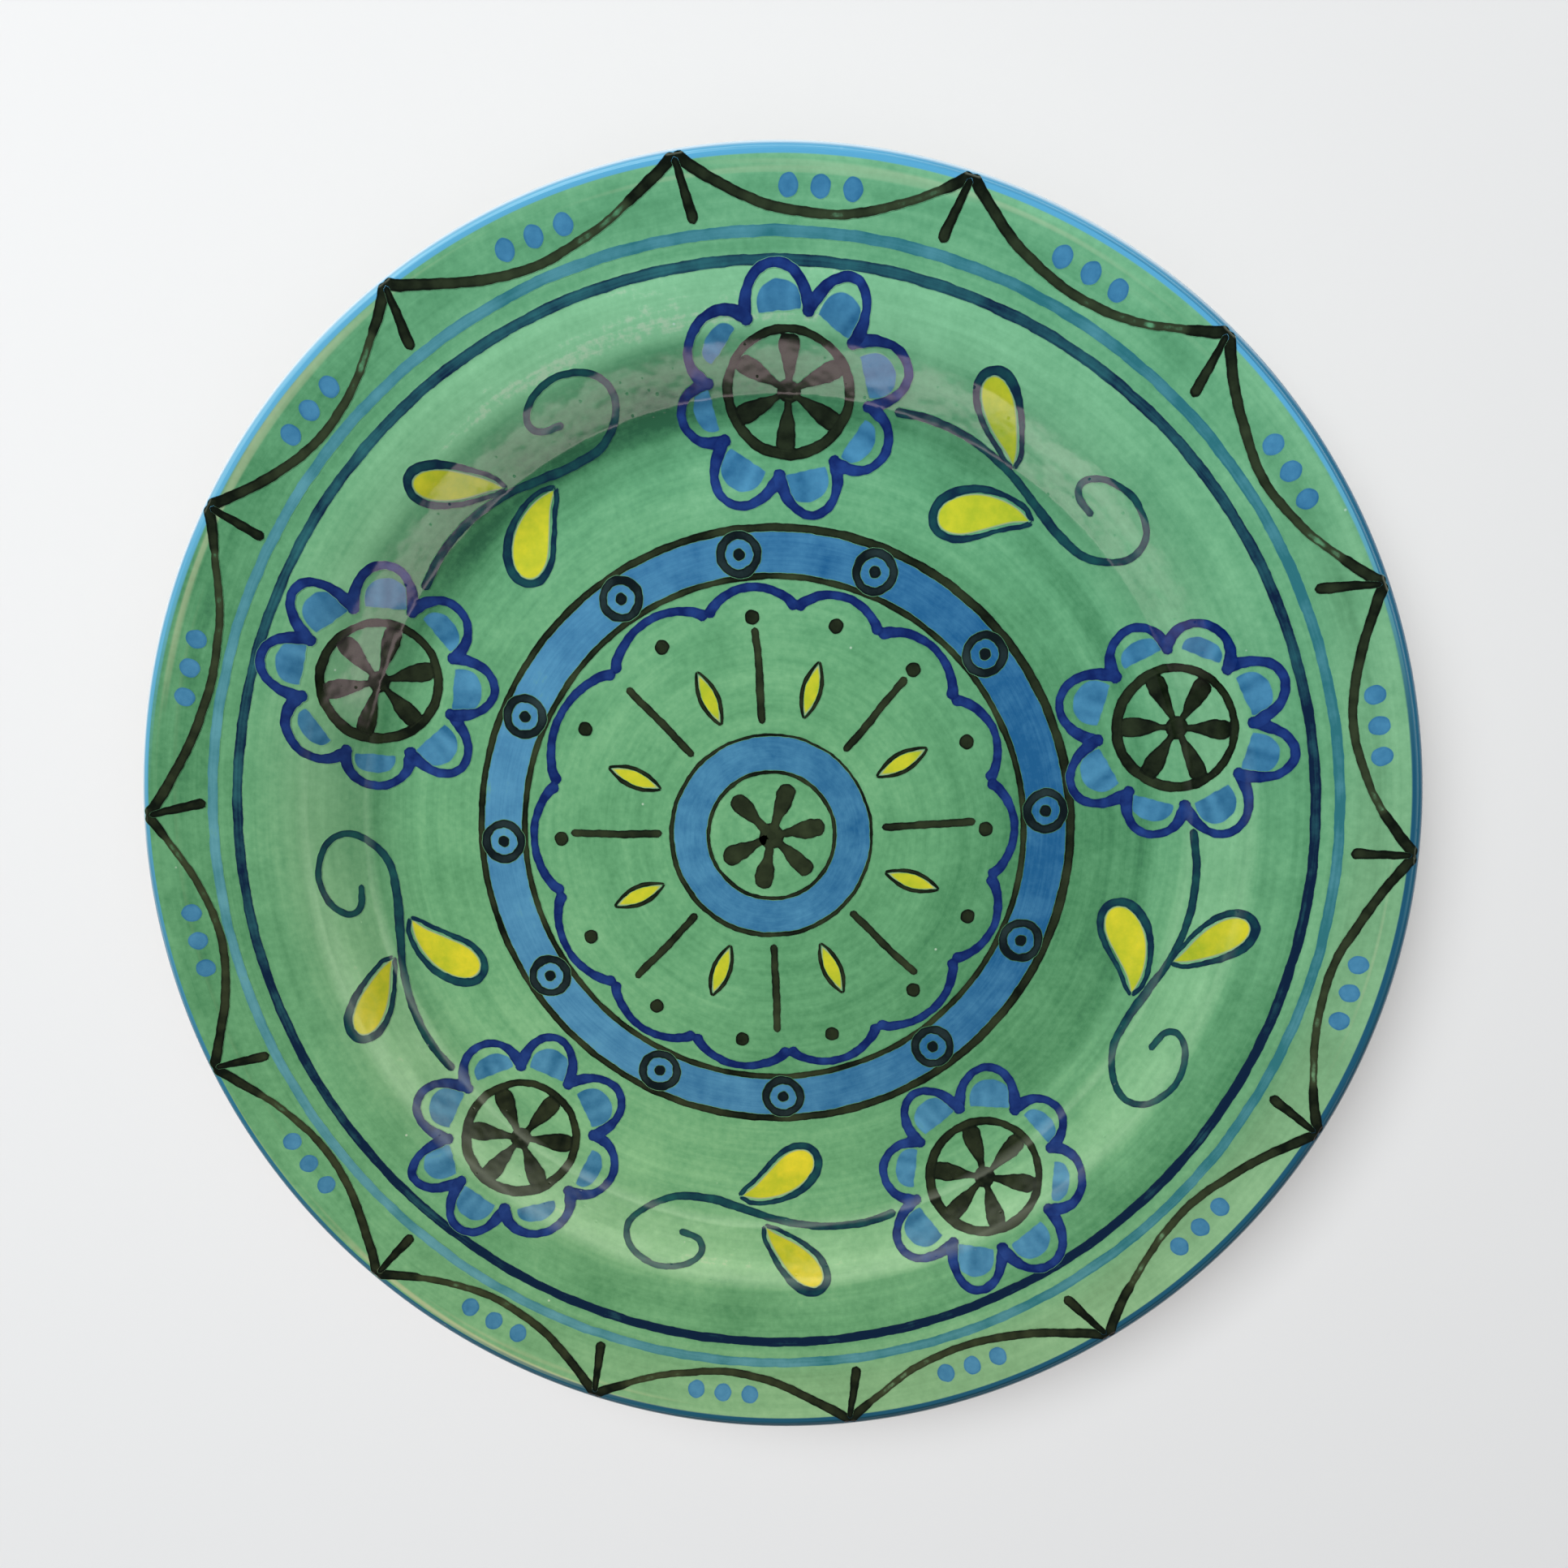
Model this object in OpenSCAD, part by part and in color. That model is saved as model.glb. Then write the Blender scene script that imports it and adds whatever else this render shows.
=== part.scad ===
// Hand-painted glazed ceramic plate, millimetres, +Z up.
// The origin is the centre of the foot ring, in the plane that the plate rests on.
// The decoration is set out on the face as a decorator pounces it: on a flat disc, whose radius is the
// distance walked up the face from its centre, and then laid onto the face.

/* [Plate] */
// Diameter over the lip
plate_d = 280; // [220:1:360]
// Thickness of the fired wall, glaze included; the lip is rounded to half of it
wall_t = 4.8; // [3.6:0.1:8]
// Width of the flange, in plan
flange_w = 22; // [16:0.5:32]
// Slope of the flange
flange_angle = 12; // [4:1:20]
// Steepest slope of the wall between the floor and the flange
wall_angle = 45; // [32:1:58]
// Length of the straight stretch of that wall
wall_len = 12; // [6:0.5:18]
// Radius of the hollow curve from the floor into the wall
cove_r = 18; // [12:0.5:24]
// Radius of the round shoulder from the wall into the flange
shoulder_r = 24; // [16:0.5:32]

/* [Foot] */
// Height of the foot ring below the underside of the floor
foot_h = 3; // [2:0.1:6]
// Width of the foot ring
foot_w = 5; // [3:0.1:9]
// From the edge of the flat floor in to the outside of the foot ring
foot_inset = 4.8; // [1:0.1:12]
// Height of the bare clay between the surface it stands on and the edge of the glaze
bare_h = 1.2; // [0.6:0.1:1.8]

/* [Coats] */
// Thickness of a coat of glaze
glaze_t = 0.4; // [0.2:0.05:0.6]
// Thickness of a layer of paint
paint_t = 0.15; // [0.08:0.01:0.25]
// Clearance under each layer of paint
paint_gap = 0.06; // [0.04:0.01:0.1]
// How far the blue lip band comes in over the face
lip_band_in = 3.6; // [1:0.1:7]
// How far it goes down outside, past the outermost point of the lip
lip_band_out = 2.4; // [0.5:0.1:3.4]

/* [Border] */
// Number of swags round the rim
swag_count = 14; // [8:1:20]
// From the lip in to the points where the swags meet
swag_inset = 3.2; // [2:0.1:6]
// How far a swag hangs in from those points
swag_drop = 12; // [8:0.5:14]
// Width of a swag's line
swag_line = 1.6; // [0.8:0.1:2.4]
// Length of the tick below each meeting point
tick_len = 12.5; // [8:0.5:14]
// Width of a tick
tick_line = 2; // [1:0.1:3]
// Diameter of the blue dots held in the swags
swag_dot_d = 4.3; // [2.5:0.1:6]
// Distance between two of those dots
swag_dot_pitch = 6.8; // [5:0.1:9]
// From the lip in to the dots
swag_dot_inset = 9; // [7:0.5:10]
// From the lip in to the middle of the pale blue ring
pale_ring_inset = 18.1; // [16:0.1:24]
// From the lip in to the middle of the dark blue ring
dark_ring_inset = 22.6; // [20:0.1:30]
// Width of each ring
ring_line = 2.2; // [1:0.1:3]

/* [Flowers] */
// Number of flowers, and of sprigs between them
flower_count = 5; // [3:1:5]
// Clearance from a flower to the dark ring and to the medallion
flower_gap = 0.5; // [0.3:0.1:6]
// Petals of a flower
petal_count = 8; // [6:1:10]
// Width of the line round the petals
petal_line = 2.3; // [1.2:0.1:3]
// Radius of the brown ring round a flower's heart, outside
heart_r = 14.4; // [7:0.1:16]
// Width of that ring
heart_line = 2.3; // [1.2:0.1:3]
// Brush petals inside the heart
heart_petals = 6; // [5:1:8]
// Width of the vine's line
vine_line = 1.5; // [0.8:0.1:2.2]
// Width of the line round a leaf
leaf_line = 1.5; // [0.8:0.1:2]
// Width of the green left between a leaf and its line
leaf_gap = 0.6; // [0.3:0.1:1.2]

/* [Medallion] */
// Diameter over the outer line of the medallion
medallion_d = 142; // [116:1:172]
// Width of the blue band
band_w = 9.6; // [8:0.1:14]
// Width of the line outside the band
band_outer_line = 1.6; // [0.8:0.1:2.4]
// Width of the line inside the band
band_inner_line = 1.1; // [0.6:0.1:2]
// Number of eyes on the band
eye_count = 12; // [6:1:16]
// Diameter over an eye
eye_d = 10.6; // [8:0.1:13]
// Width of an eye's ring
eye_line = 2; // [1:0.1:2.6]
// Diameter of an eye's pupil
pupil_d = 2.9; // [1.5:0.1:3.6]
// Number of scallops inside the band
scallop_count = 14; // [8:1:18]
// Depth of a scallop
scallop_depth = 5; // [3:0.1:6]
// Width of the scalloped line
scallop_line = 1.7; // [0.8:0.1:2.2]
// Diameter of the dot under each scallop
scallop_dot_d = 3.2; // [2:0.1:4]
// Number of spokes, and of seeds between them
spoke_count = 8; // [6:1:12]
// Width of a spoke
spoke_line = 1.5; // [0.8:0.1:2.4]
// Length of a seed, with its line
seed_len = 14; // [8:0.5:18]
// Width of a seed, with its line
seed_w = 4.6; // [3:0.1:6]
// Width of the line round a seed
seed_line = 0.6; // [0.4:0.1:1]
// Diameter over the outer line of the centre ring
centre_d = 49; // [40:0.5:60]
// Width of the centre ring with its two lines
centre_w = 10; // [7:0.1:13]
// Width of each of those lines
centre_line = 1; // [0.5:0.1:1.6]
// Brush petals at the centre
centre_petals = 6; // [5:1:8]

/* [Hidden] */
$fn = 120;
plate_r = plate_d / 2;
lip_r = wall_t / 2;
base_z = foot_h + wall_t;

// Section of the face: floor, cove, wall, shoulder, flange, lip. r and z where each begins.
r3 = plate_r - flange_w;
r2 = r3 - shoulder_r * (sin(wall_angle) - sin(flange_angle));
r1 = r2 - wall_len * cos(wall_angle);
floor_r = r1 - cove_r * sin(wall_angle);
z1 = cove_r * (1 - cos(wall_angle));
z2 = z1 + wall_len * sin(wall_angle);
z3 = z2 + shoulder_r * (cos(flange_angle) - cos(wall_angle));
lip_x = plate_r - lip_r;
r4 = lip_x - lip_r * sin(flange_angle);
z4 = z3 + (r4 - r3) * tan(flange_angle);
lip_z = z4 - lip_r * cos(flange_angle);

// The same places as distances walked up the face from its centre.
s0 = floor_r;
s1 = s0 + arc_length(cove_r, wall_angle);
s2 = s1 + wall_len;
s3 = s2 + arc_length(shoulder_r, wall_angle - flange_angle);
s4 = s3 + (r4 - r3) / cos(flange_angle);
lip_s = s4 + arc_length(lip_r, 90 + flange_angle);
s5 = s4 + arc_length(lip_r, 180);

foot_ro = floor_r - foot_inset;
foot_ri = foot_ro - foot_w;
foot_bevel = 0.6;

// Heights above the glaze of the first and of the second layer of paint
layer_1 = paint_gap;
layer_2 = 2 * paint_gap + paint_t;

// Border radii on the flat disc
swag_s = lip_s - swag_inset;
pale_s = lip_s - pale_ring_inset;
dark_s = lip_s - dark_ring_inset;
// Degrees from a meeting point to the end of a swag, and the clearance from it to its tick
swag_gap = 0.5;
tick_gap = 2.4;

// A flower fills the space between the dark ring and the medallion.
medallion_r = medallion_d / 2;
flower_in = medallion_r + flower_gap;
flower_out = dark_s - ring_line / 2 - flower_gap;
flower_r = (flower_out - flower_in) / 2;
flower_s = (flower_out + flower_in) / 2;
petal_step = 360 / petal_count;
petal_centre = flower_r * 0.69;
petal_r = flower_r - petal_centre;
heart_out = min(heart_r, flower_r * 0.56);
notch_r = heart_out + 2.6;
// Width of the green left between a petal's fill and its line
petal_gap = 0.8;

// The medallion, from its outer line in
band_out = medallion_r - band_outer_line;
band_in = band_out - band_w;
eye_s = (band_out + band_in) / 2;
scallop_s = band_in - band_inner_line - 0.6 - scallop_line;
scallop_dot_s = scallop_s - scallop_depth - 0.8;
centre_r = centre_d / 2;
centre_in = centre_r - centre_w;
spoke_in = centre_r + 1.4;
spoke_out = scallop_dot_s - scallop_dot_d / 2 - 0.6;
seed_s = (spoke_in + spoke_out) / 2 - 2;

// How far each hand-set mark lies from its even place, in degrees
swag_nudge = [0, -2, -3, -4, -5, -4, -5, -2, -3, -3, -4, -4, -3, -1];
flower_nudge = [0, -1, -1, -1, 0];
heart_turn = [28, 0, 30, 20, 14];
notch_nudge = [-2, 0, -7, -7, 0, 0, 1, -2];
eye_nudge = [0, 5, 3, 1, -3, -1, -4, -3, -1, -3, 2, 2];
scallop_nudge = [1, -2, -3, -7, -10, -8, -1, 2, 4, 4, 4, 3, 4, 2];
spoke_nudge = [0, 0, 0, -5, -5, -3, -3, -3];
seed_nudge = [2, 2, -3, -5, -3, -3, -3, 0];
centre_nudge = [0, 0, 4, 17, 10, 6];

// Radius of the flower that the sprig was drawn beside; in less room its lines and leaves get narrower.
drawn_r = 26.4;
sprig_room = min(1, flower_r / drawn_r);

// A sprig, as [degrees clockwise from its flower, millimetres out from the flower's centre]
vine_path = [[14.5, 0.3], [19, 1.3], [25, 0.3], [31, -2], [36, -4.3], [41, -5.2], [46, -4], [49.5, 0],
             [50.8, 5.5], [49.3, 10.5], [45.5, 13], [41.5, 11.5], [39.6, 7.5], [40.5, 4], [43.5, 3]];
inner_leaf = [[37.4, -7], [34, -8.8], [30.5, -12], [27.6, -15.6], [25.4, -18.6]];
inner_leaf_w = 9.6 * sprig_room;
outer_leaf = [[32.6, -0.8], [31, 2.6], [28.8, 6.4], [26.6, 10.8], [24.8, 14.6]];
outer_leaf_w = 7.6 * sprig_room;

// ---- measures along the face ----

function arc_length(r, angle) = r * angle * PI / 180;
function arc_angle(r, length) = length / r * 180 / PI;

// Slope of the face at s, in degrees; past the top of the lip it is negative.
function face_tilt(s) =
    s <= s0 ? 0 :
    s <= s1 ? arc_angle(cove_r, s - s0) :
    s <= s2 ? wall_angle :
    s <= s3 ? wall_angle - arc_angle(shoulder_r, s - s2) :
    s <= s4 ? flange_angle : flange_angle - arc_angle(lip_r, s - s4);

// Radius and height of the face at s, above the floor.
function face_point(s) =
    let (a = face_tilt(s))
    s <= s0 ? [s, 0] :
    s <= s1 ? [floor_r + cove_r * sin(a), cove_r * (1 - cos(a))] :
    s <= s2 ? [r1 + (s - s1) * cos(a), z1 + (s - s1) * sin(a)] :
    s <= s3 ? [r2 + shoulder_r * (sin(wall_angle) - sin(a)), z2 + shoulder_r * (cos(a) - cos(wall_angle))] :
    s <= s4 ? [r3 + (s - s3) * cos(a), z3 + (s - s3) * sin(a)] :
    [lip_x - lip_r * sin(a), lip_z + lip_r * cos(a)];

// The same point moved a depth into the wall, square to the face, with heights from the foot.
function skin(s, depth) =
    let (p = face_point(s), a = face_tilt(s)) [p[0] + depth * sin(a), base_z + p[1] - depth * cos(a)];

function steps(a, b, n) = [for (i = [0:n]) a + (b - a) * i / n];
face_stops = concat([0], steps(s0, s1, 9), steps(s2, s3, 7), steps(s4, s5, 16));
function stops(a, b) = concat([a], [for (s = face_stops) if (s > a + 0.01 && s < b - 0.01) s], [b]);
function reverse(list) = [for (i = [len(list) - 1:-1:0]) list[i]];
function pick(list, i) = list[i % len(list)];

// Closed section of a coat on the face from s = a to s = b, between two depths.
function coat(a, b, top, bottom) =
    let (at = stops(a, b))
    concat([for (s = at) skin(s, top)], [for (s = reverse(at)) skin(s, bottom)]);

module turned(section) {
    rotate_extrude($fn = 180) polygon(section);
}

// A ring of paint turned on the wheel, from s = a to s = b.
module ring(a, b) {
    turned(coat(a, b, -layer_1 - paint_t, -layer_1));
}

// ---- paint laid on the face ----

// A point of the flat disc laid on the face, lifted by h.
function lay(p, h) =
    let (s = max(norm(p), 0.001), q = skin(s, -h)) [p[0] * q[0] / s, p[1] * q[0] / s, q[1]];

function at(angle, s) = s * [cos(angle), sin(angle)];

// A film of paint over a grid of flat points: rows, each of the same number of points.
// Rows run on round when closed. The outline is counter-clockwise, seen from above.
module film(rows, lift, closed = false) {
    n = len(rows);
    m = len(rows[0]);
    last = closed ? n - 1 : n - 2;
    low = n * m;
    function v(i, j) = (i % n) * m + j;
    points = concat([for (row = rows, p = row) lay(p, lift + paint_t)],
                    [for (row = rows, p = row) lay(p, lift)]);
    sheet = [for (i = [0:last], j = [0:m - 2], k = [0:1])
        k == 0 ? [v(i, j), v(i, j + 1), v(i + 1, j + 1)] : [v(i, j), v(i + 1, j + 1), v(i + 1, j)]];
    under = [for (f = sheet) [f[2] + low, f[1] + low, f[0] + low]];
    sides = [for (i = [0:last], k = [0:3])
        k == 0 ? [v(i, 0), v(i + 1, 0), v(i + 1, 0) + low] :
        k == 1 ? [v(i, 0), v(i + 1, 0) + low, v(i, 0) + low] :
        k == 2 ? [v(i + 1, m - 1), v(i, m - 1), v(i, m - 1) + low] :
                 [v(i + 1, m - 1), v(i, m - 1) + low, v(i + 1, m - 1) + low]];
    ends = closed ? [] : [for (j = [0:m - 2], k = [0:3])
        k == 0 ? [v(0, j + 1), v(0, j), v(0, j) + low] :
        k == 1 ? [v(0, j + 1), v(0, j) + low, v(0, j + 1) + low] :
        k == 2 ? [v(n - 1, j), v(n - 1, j + 1), v(n - 1, j + 1) + low] :
                 [v(n - 1, j), v(n - 1, j + 1) + low, v(n - 1, j) + low]];
    polyhedron(points, concat(sheet, under, sides, ends), convexity = 8);
}

// A smooth curve through hand-set points, each stretch cut into n.
function curve(p, n) = concat(
    [for (i = [0:len(p) - 2], k = [0:n - 1])
        let (a = p[max(i - 1, 0)], b = p[i], c = p[i + 1], d = p[min(i + 2, len(p) - 1)], t = k / n)
        0.5 * (2 * b + (c - a) * t + (2 * a - 5 * b + 4 * c - d) * pow(t, 2) +
               (3 * b - a - 3 * c + d) * pow(t, 3))],
    [p[len(p) - 1]]);

// Unit vector to the left of a path at its point i.
function left(path, i) =
    let (a = path[max(i - 1, 0)], b = path[min(i + 1, len(path) - 1)], d = (b - a) / norm(b - a))
    [-d[1], d[0]];

// Rows of a brush stroke along a path: half[i] is its half-width at point i, split across into m parts.
function stroke(path, half, m = 1) =
    [for (i = [0:len(path) - 1]) [for (j = [0:m]) path[i] - left(path, i) * half[i] * (2 * j / m - 1)]];

// Half-widths of a stroke with rounded ends, and of a drop that swells towards its far end.
function round_ends(n, half) = [for (i = [0:n]) half * (i == 0 || i == n ? 0.45 : 1)];
function drop(n, half, swell = 0.64) =
    [for (i = [0:n]) let (t = i / n)
        half * max(t < swell ? pow(sin(90 * t / swell), 1.2) :
                   sqrt(1 - pow((t - swell) / (1 - swell), 2)), 0.05)];

// A round touch of the brush, built across in five rows.
module blob(p, d, lift) {
    u = p / max(norm(p), 0.001);
    film([for (a = [-90, -48, 0, 48, 90])
        let (c = p + u * d / 2 * sin(a), w = [u[1], -u[0]] * max(d / 2 * cos(a), 0.15))
        [c - w, c + w]], lift);
}

// A closed line round a centre, between two radii given for each of a list of angles, in m parts across.
module loop(centre, angles, inner, outer, lift, m = 1) {
    film([for (i = [0:len(angles) - 1])
        [for (r = steps(inner[i], outer[i], m)) centre + at(angles[i], r)]], lift, true);
}

function even(count) = [for (i = [0:count - 1]) 360 * i / count];

module hoop(centre, d, line, sides, lift) {
    a = even(sides);
    loop(centre, a, [for (t = a) d / 2 - line], [for (t = a) d / 2], lift);
}

// A brush petal that runs out from a centre, widest near its tip.
module brush_petal(centre, angle, from, to, half, lift) {
    path = [for (t = steps(from, to, 5)) centre + at(angle, t)];
    film(stroke(path, [half * 0.45, half * 0.6, half * 0.9, half, half * 0.9, half * 0.45]), lift);
}

// ---- the fired plate ----

module clay_body() {
    face = [for (s = stops(0, s5)) skin(s, glaze_t)];
    under = [for (s = reverse(stops(s0, s4))) skin(s, wall_t - glaze_t)];
    ceiling = foot_h + glaze_t;
    ro = foot_ro - glaze_t;
    ri = foot_ri + glaze_t;
    foot = [[ro, ceiling], [ro, foot_bevel], [ro - foot_bevel, 0], [ri + foot_bevel, 0], [ri, foot_bevel],
            [ri, ceiling], [0, ceiling]];
    color("#d9c4a0") turned(concat(face, under, foot));
}

module face_glaze() {
    color("#5fae7f") turned(coat(0, lip_s - lip_band_in, 0, glaze_t));
}

module lip_band() {
    color("#3f86ad") turned(coat(lip_s - lip_band_in, lip_s + lip_band_out, 0, glaze_t));
}

module back_glaze() {
    lip_end = lip_s + lip_band_out;
    outer = concat(
        [for (s = stops(lip_end, s5)) skin(s, 0)],
        [for (s = reverse(stops(s0, s4))) skin(s, wall_t)],
        [[foot_ro, foot_h], [foot_ro, bare_h]],
        [[foot_ro - glaze_t, bare_h], [foot_ro - glaze_t, foot_h + glaze_t]],
        [for (s = stops(s0, s4)) skin(s, wall_t - glaze_t)],
        [for (s = reverse(stops(lip_end, s5))) skin(s, glaze_t)]);
    recess = [[0, foot_h + glaze_t], [foot_ri + glaze_t, foot_h + glaze_t], [foot_ri + glaze_t, bare_h],
              [foot_ri, bare_h], [foot_ri, foot_h], [0, foot_h]];
    color("#e6dcc4") {
        turned(outer);
        turned(recess);
    }
}

// ---- the border ----

function swag_angle(i) = 2 + 360 * i / swag_count + pick(swag_nudge, i % swag_count);

module rim_swags() {
    // Closer together where the line comes over the round of the lip
    shares = [0, 0.02, 0.05, 0.1, 0.18, 0.28, 0.39, 0.5, 0.61, 0.72, 0.82, 0.9, 0.95, 0.98, 1];
    color("#2b2a1d") for (i = [0:swag_count - 1]) {
        a = swag_angle(i) + swag_gap;
        b = swag_angle(i + 1) - swag_gap;
        path = [for (t = shares) at(a + (b - a) * t, swag_s - swag_drop * pow(sin(180 * t), 0.8))];
        half = [for (t = shares) swag_line / 2 * (1.2 - 0.4 * sin(180 * t))];
        film(stroke(path, half, 2), layer_2);
    }
}

module rim_ticks() {
    color("#2b2a1d") for (i = [0:swag_count - 1]) {
        path = [for (s = steps(swag_s - tick_gap, swag_s - tick_len, 4)) at(swag_angle(i), s)];
        film(stroke(path, round_ends(4, tick_line / 2)), layer_2);
    }
}

module rim_dots() {
    pitch = arc_angle(lip_s - swag_dot_inset, swag_dot_pitch);
    color("#3b7fb0") for (i = [0:swag_count - 1], k = [-1:1]) {
        middle = (swag_angle(i) + swag_angle(i + 1)) / 2;
        blob(at(middle + k * pitch, lip_s - swag_dot_inset), swag_dot_d, layer_1);
    }
}

module pale_blue_ring() {
    color("#3f8fa8") ring(pale_s - ring_line / 2, pale_s + ring_line / 2);
}

module dark_blue_ring() {
    color("#0f4463") ring(dark_s - ring_line / 2, dark_s + ring_line / 2);
}

// ---- flowers and sprigs ----

function flower_angle(i) = 90 + 360 * i / flower_count + pick(flower_nudge, i);
function flower_centre(i) = at(flower_angle(i), flower_s);
// Notches between petals, counted round the flower from its side towards the next sprig
function notch(i, k) = flower_angle(i) - 96 + petal_step * k + pick(notch_nudge, k % petal_count);

// Far edge of a lobe of radius r round the petal's centre, at an angle off the petal's axis.
function lobe(off, r, least) =
    let (across = petal_centre * sin(off))
    abs(across) < r ? max(petal_centre * cos(off) + sqrt(r * r - across * across), least) : least;

module flower_outline(i) {
    shares = [0, 0.035, 0.07, 0.14, 0.26, 0.38, 0.5, 0.62, 0.74, 0.86, 0.93, 0.965];
    spots = [for (k = [0:petal_count - 1], t = shares) [k, t]];
    angles = [for (q = spots) notch(i, q[0]) + q[1] * (notch(i, q[0] + 1) - notch(i, q[0]))];
    off = [for (q = spots) (q[1] - 0.5) * petal_step];
    color("#27349b") loop(flower_centre(i), angles,
        [for (a = off) lobe(a, petal_r - petal_line, notch_r)],
        [for (a = off) lobe(a, petal_r, notch_r + petal_line)], layer_2, 3);
}

module flower_petals(i) {
    fill_r = petal_r - petal_line - petal_gap;
    reach = 0.97 * asin(fill_r / petal_centre);
    near = petal_centre * 0.96;
    color("#3b80bd") for (k = [0:petal_count - 1]) {
        axis = (notch(i, k) + notch(i, k + 1)) / 2;
        film([for (t = [-1, -0.8, -0.45, 0, 0.45, 0.8, 1])
            let (far = lobe(t * reach, fill_r, near + 0.3))
            [for (r = steps(far, near, 3)) flower_centre(i) + at(axis + t * reach, r)]], layer_1);
    }
}

module flower_heart(i) {
    c = flower_centre(i);
    color("#2b2a1d") {
        hoop(c, 2 * heart_out, heart_line, 28, layer_2);
        blob(c, heart_out * 0.36, layer_2);
        for (k = [0:heart_petals - 1]) {
            angle = flower_angle(i) - 90 + pick(heart_turn, i) + 360 * k / heart_petals;
            tip = heart_out - heart_line - 0.15;
            brush_petal(c, angle, heart_out * 0.2, tip, heart_out * 0.15, layer_2);
        }
    }
}

// Points of a sprig laid out beside flower i.
function beside(i, list) =
    [for (p = list) at(flower_angle(i) - p[0], flower_s + p[1] * flower_r / drawn_r)];

module sprig_vine(i) {
    path = beside(i, curve(vine_path, 2));
    n = len(path) - 1;
    brush = vine_line * sprig_room / 2;
    half = [for (t = [0:n]) brush * (t == 0 || t == n ? 0.6 : 1 + 0.25 * sin(180 * t / n))];
    color("#0e4a5e") {
        film(stroke(path, half), layer_2);
        leaf_edge(i, inner_leaf, inner_leaf_w);
        leaf_edge(i, outer_leaf, outer_leaf_w);
    }
}

// The line round a leaf: out along one side of the drop and back along the other.
module leaf_edge(i, leaf, w) {
    path = beside(i, curve(leaf, 2));
    n = len(path) - 1;
    half = drop(n, w / 2);
    // The lines draw together towards the stalk.
    function side(k, extra) = left(path, k) * (half[k] + extra * min(1, k / n / 0.45));
    ahead = (path[n] - path[n - 1]) / norm(path[n] - path[n - 1]);
    function edge(extra) = concat(
        [for (k = [1:n - 1]) path[k] - side(k, extra)],
        [path[n] + ahead * extra],
        [for (k = [n - 1:-1:1]) path[k] + side(k, extra)]);
    inner = edge(leaf_gap * sprig_room);
    outer = edge((leaf_gap + leaf_line) * sprig_room);
    film([for (k = [0:len(outer) - 1]) [inner[k], outer[k]]], layer_2);
}

module sprig_leaves(i) {
    color("#c9d02c") {
        film(stroke(beside(i, curve(inner_leaf, 2)), drop(8, inner_leaf_w / 2), 4), layer_1);
        film(stroke(beside(i, curve(outer_leaf, 2)), drop(8, outer_leaf_w / 2), 4), layer_1);
    }
}

// ---- the medallion ----

module medallion_band() {
    color("#3d7fba") ring(band_in, band_out);
}

module medallion_lines() {
    color("#26301f") {
        ring(band_out, medallion_r);
        ring(band_in - band_inner_line, band_in);
    }
}

function eye_angle(i) = 8 + 360 * i / eye_count + pick(eye_nudge, i);

module medallion_eyes() {
    color("#16222c") for (i = [0:eye_count - 1]) {
        hoop(at(eye_angle(i), eye_s), eye_d, eye_line, 20, layer_2);
        blob(at(eye_angle(i), eye_s), pupil_d, layer_2);
    }
}

function cusp(i) = 16 + 360 * i / scallop_count + pick(scallop_nudge, i % scallop_count);

module scalloped_line() {
    parts = 8;
    spots = [for (i = [0:scallop_count - 1], t = [0:parts - 1]) [i, t / parts]];
    angles = [for (q = spots) cusp(q[0]) + q[1] * (cusp(q[0] + 1) - cusp(q[0]))];
    inner = [for (q = spots) scallop_s - scallop_depth * (1 - pow(sin(180 * q[1]), 0.7))];
    color("#22309a") loop([0, 0], angles, inner, [for (r = inner) r + scallop_line], layer_2);
}

module scallop_dots() {
    color("#2f3423") for (i = [0:scallop_count - 1])
        blob(at((cusp(i) + cusp(i + 1)) / 2, scallop_dot_s), scallop_dot_d, layer_2);
}

module spokes() {
    color("#2f3423") for (i = [0:spoke_count - 1]) {
        angle = 7 + 360 * i / spoke_count + pick(spoke_nudge, i);
        path = [for (s = steps(spoke_in, spoke_out, 4)) at(angle, s)];
        film(stroke(path, round_ends(4, spoke_line / 2)), layer_2);
    }
}

function seed_angle(i) = 30 + 360 * i / spoke_count + pick(seed_nudge, i);
// Points round a seed: two arcs that meet in a point at each end.
function seed_edge(i, length, width) =
    [for (side = [1, -1], t = [0:6])
        at(seed_angle(i), seed_s + side * length * (t / 7 - 0.5)) +
        at(seed_angle(i) + 90, side * width / 2 * sin(180 * t / 7))];

module seeds() {
    color("#cfcf2a") for (i = [0:spoke_count - 1]) {
        length = seed_len - 4 * seed_line;
        path = [for (t = steps(-0.5, 0.5, 6)) at(seed_angle(i), seed_s + t * length)];
        half = [for (t = [0:6]) (seed_w / 2 - seed_line) * max(sin(30 * t), 0.05)];
        film(stroke(path, half), layer_1);
    }
}

module seed_outlines() {
    color("#2f3423") for (i = [0:spoke_count - 1]) {
        outer = seed_edge(i, seed_len, seed_w);
        inner = seed_edge(i, seed_len - 4 * seed_line, seed_w - 2 * seed_line);
        film([for (k = [0:13]) [outer[k], inner[k]]], layer_2, true);
    }
}

module centre_ring() {
    color("#3470b5") ring(centre_in + centre_line, centre_r - centre_line);
}

module centre_lines() {
    color("#26301f") {
        ring(centre_r - centre_line, centre_r);
        ring(centre_in, centre_in + centre_line);
    }
}

module centre_flower() {
    reach = centre_in - 1.4;
    color("#241d16") {
        blob([0.01, 0], reach * 0.5, layer_2);
        for (k = [0:centre_petals - 1]) {
            angle = 13 + 360 * k / centre_petals + pick(centre_nudge, k);
            brush_petal([0, 0], angle, reach * 0.27, reach, reach * 0.16, layer_2);
        }
    }
}

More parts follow.
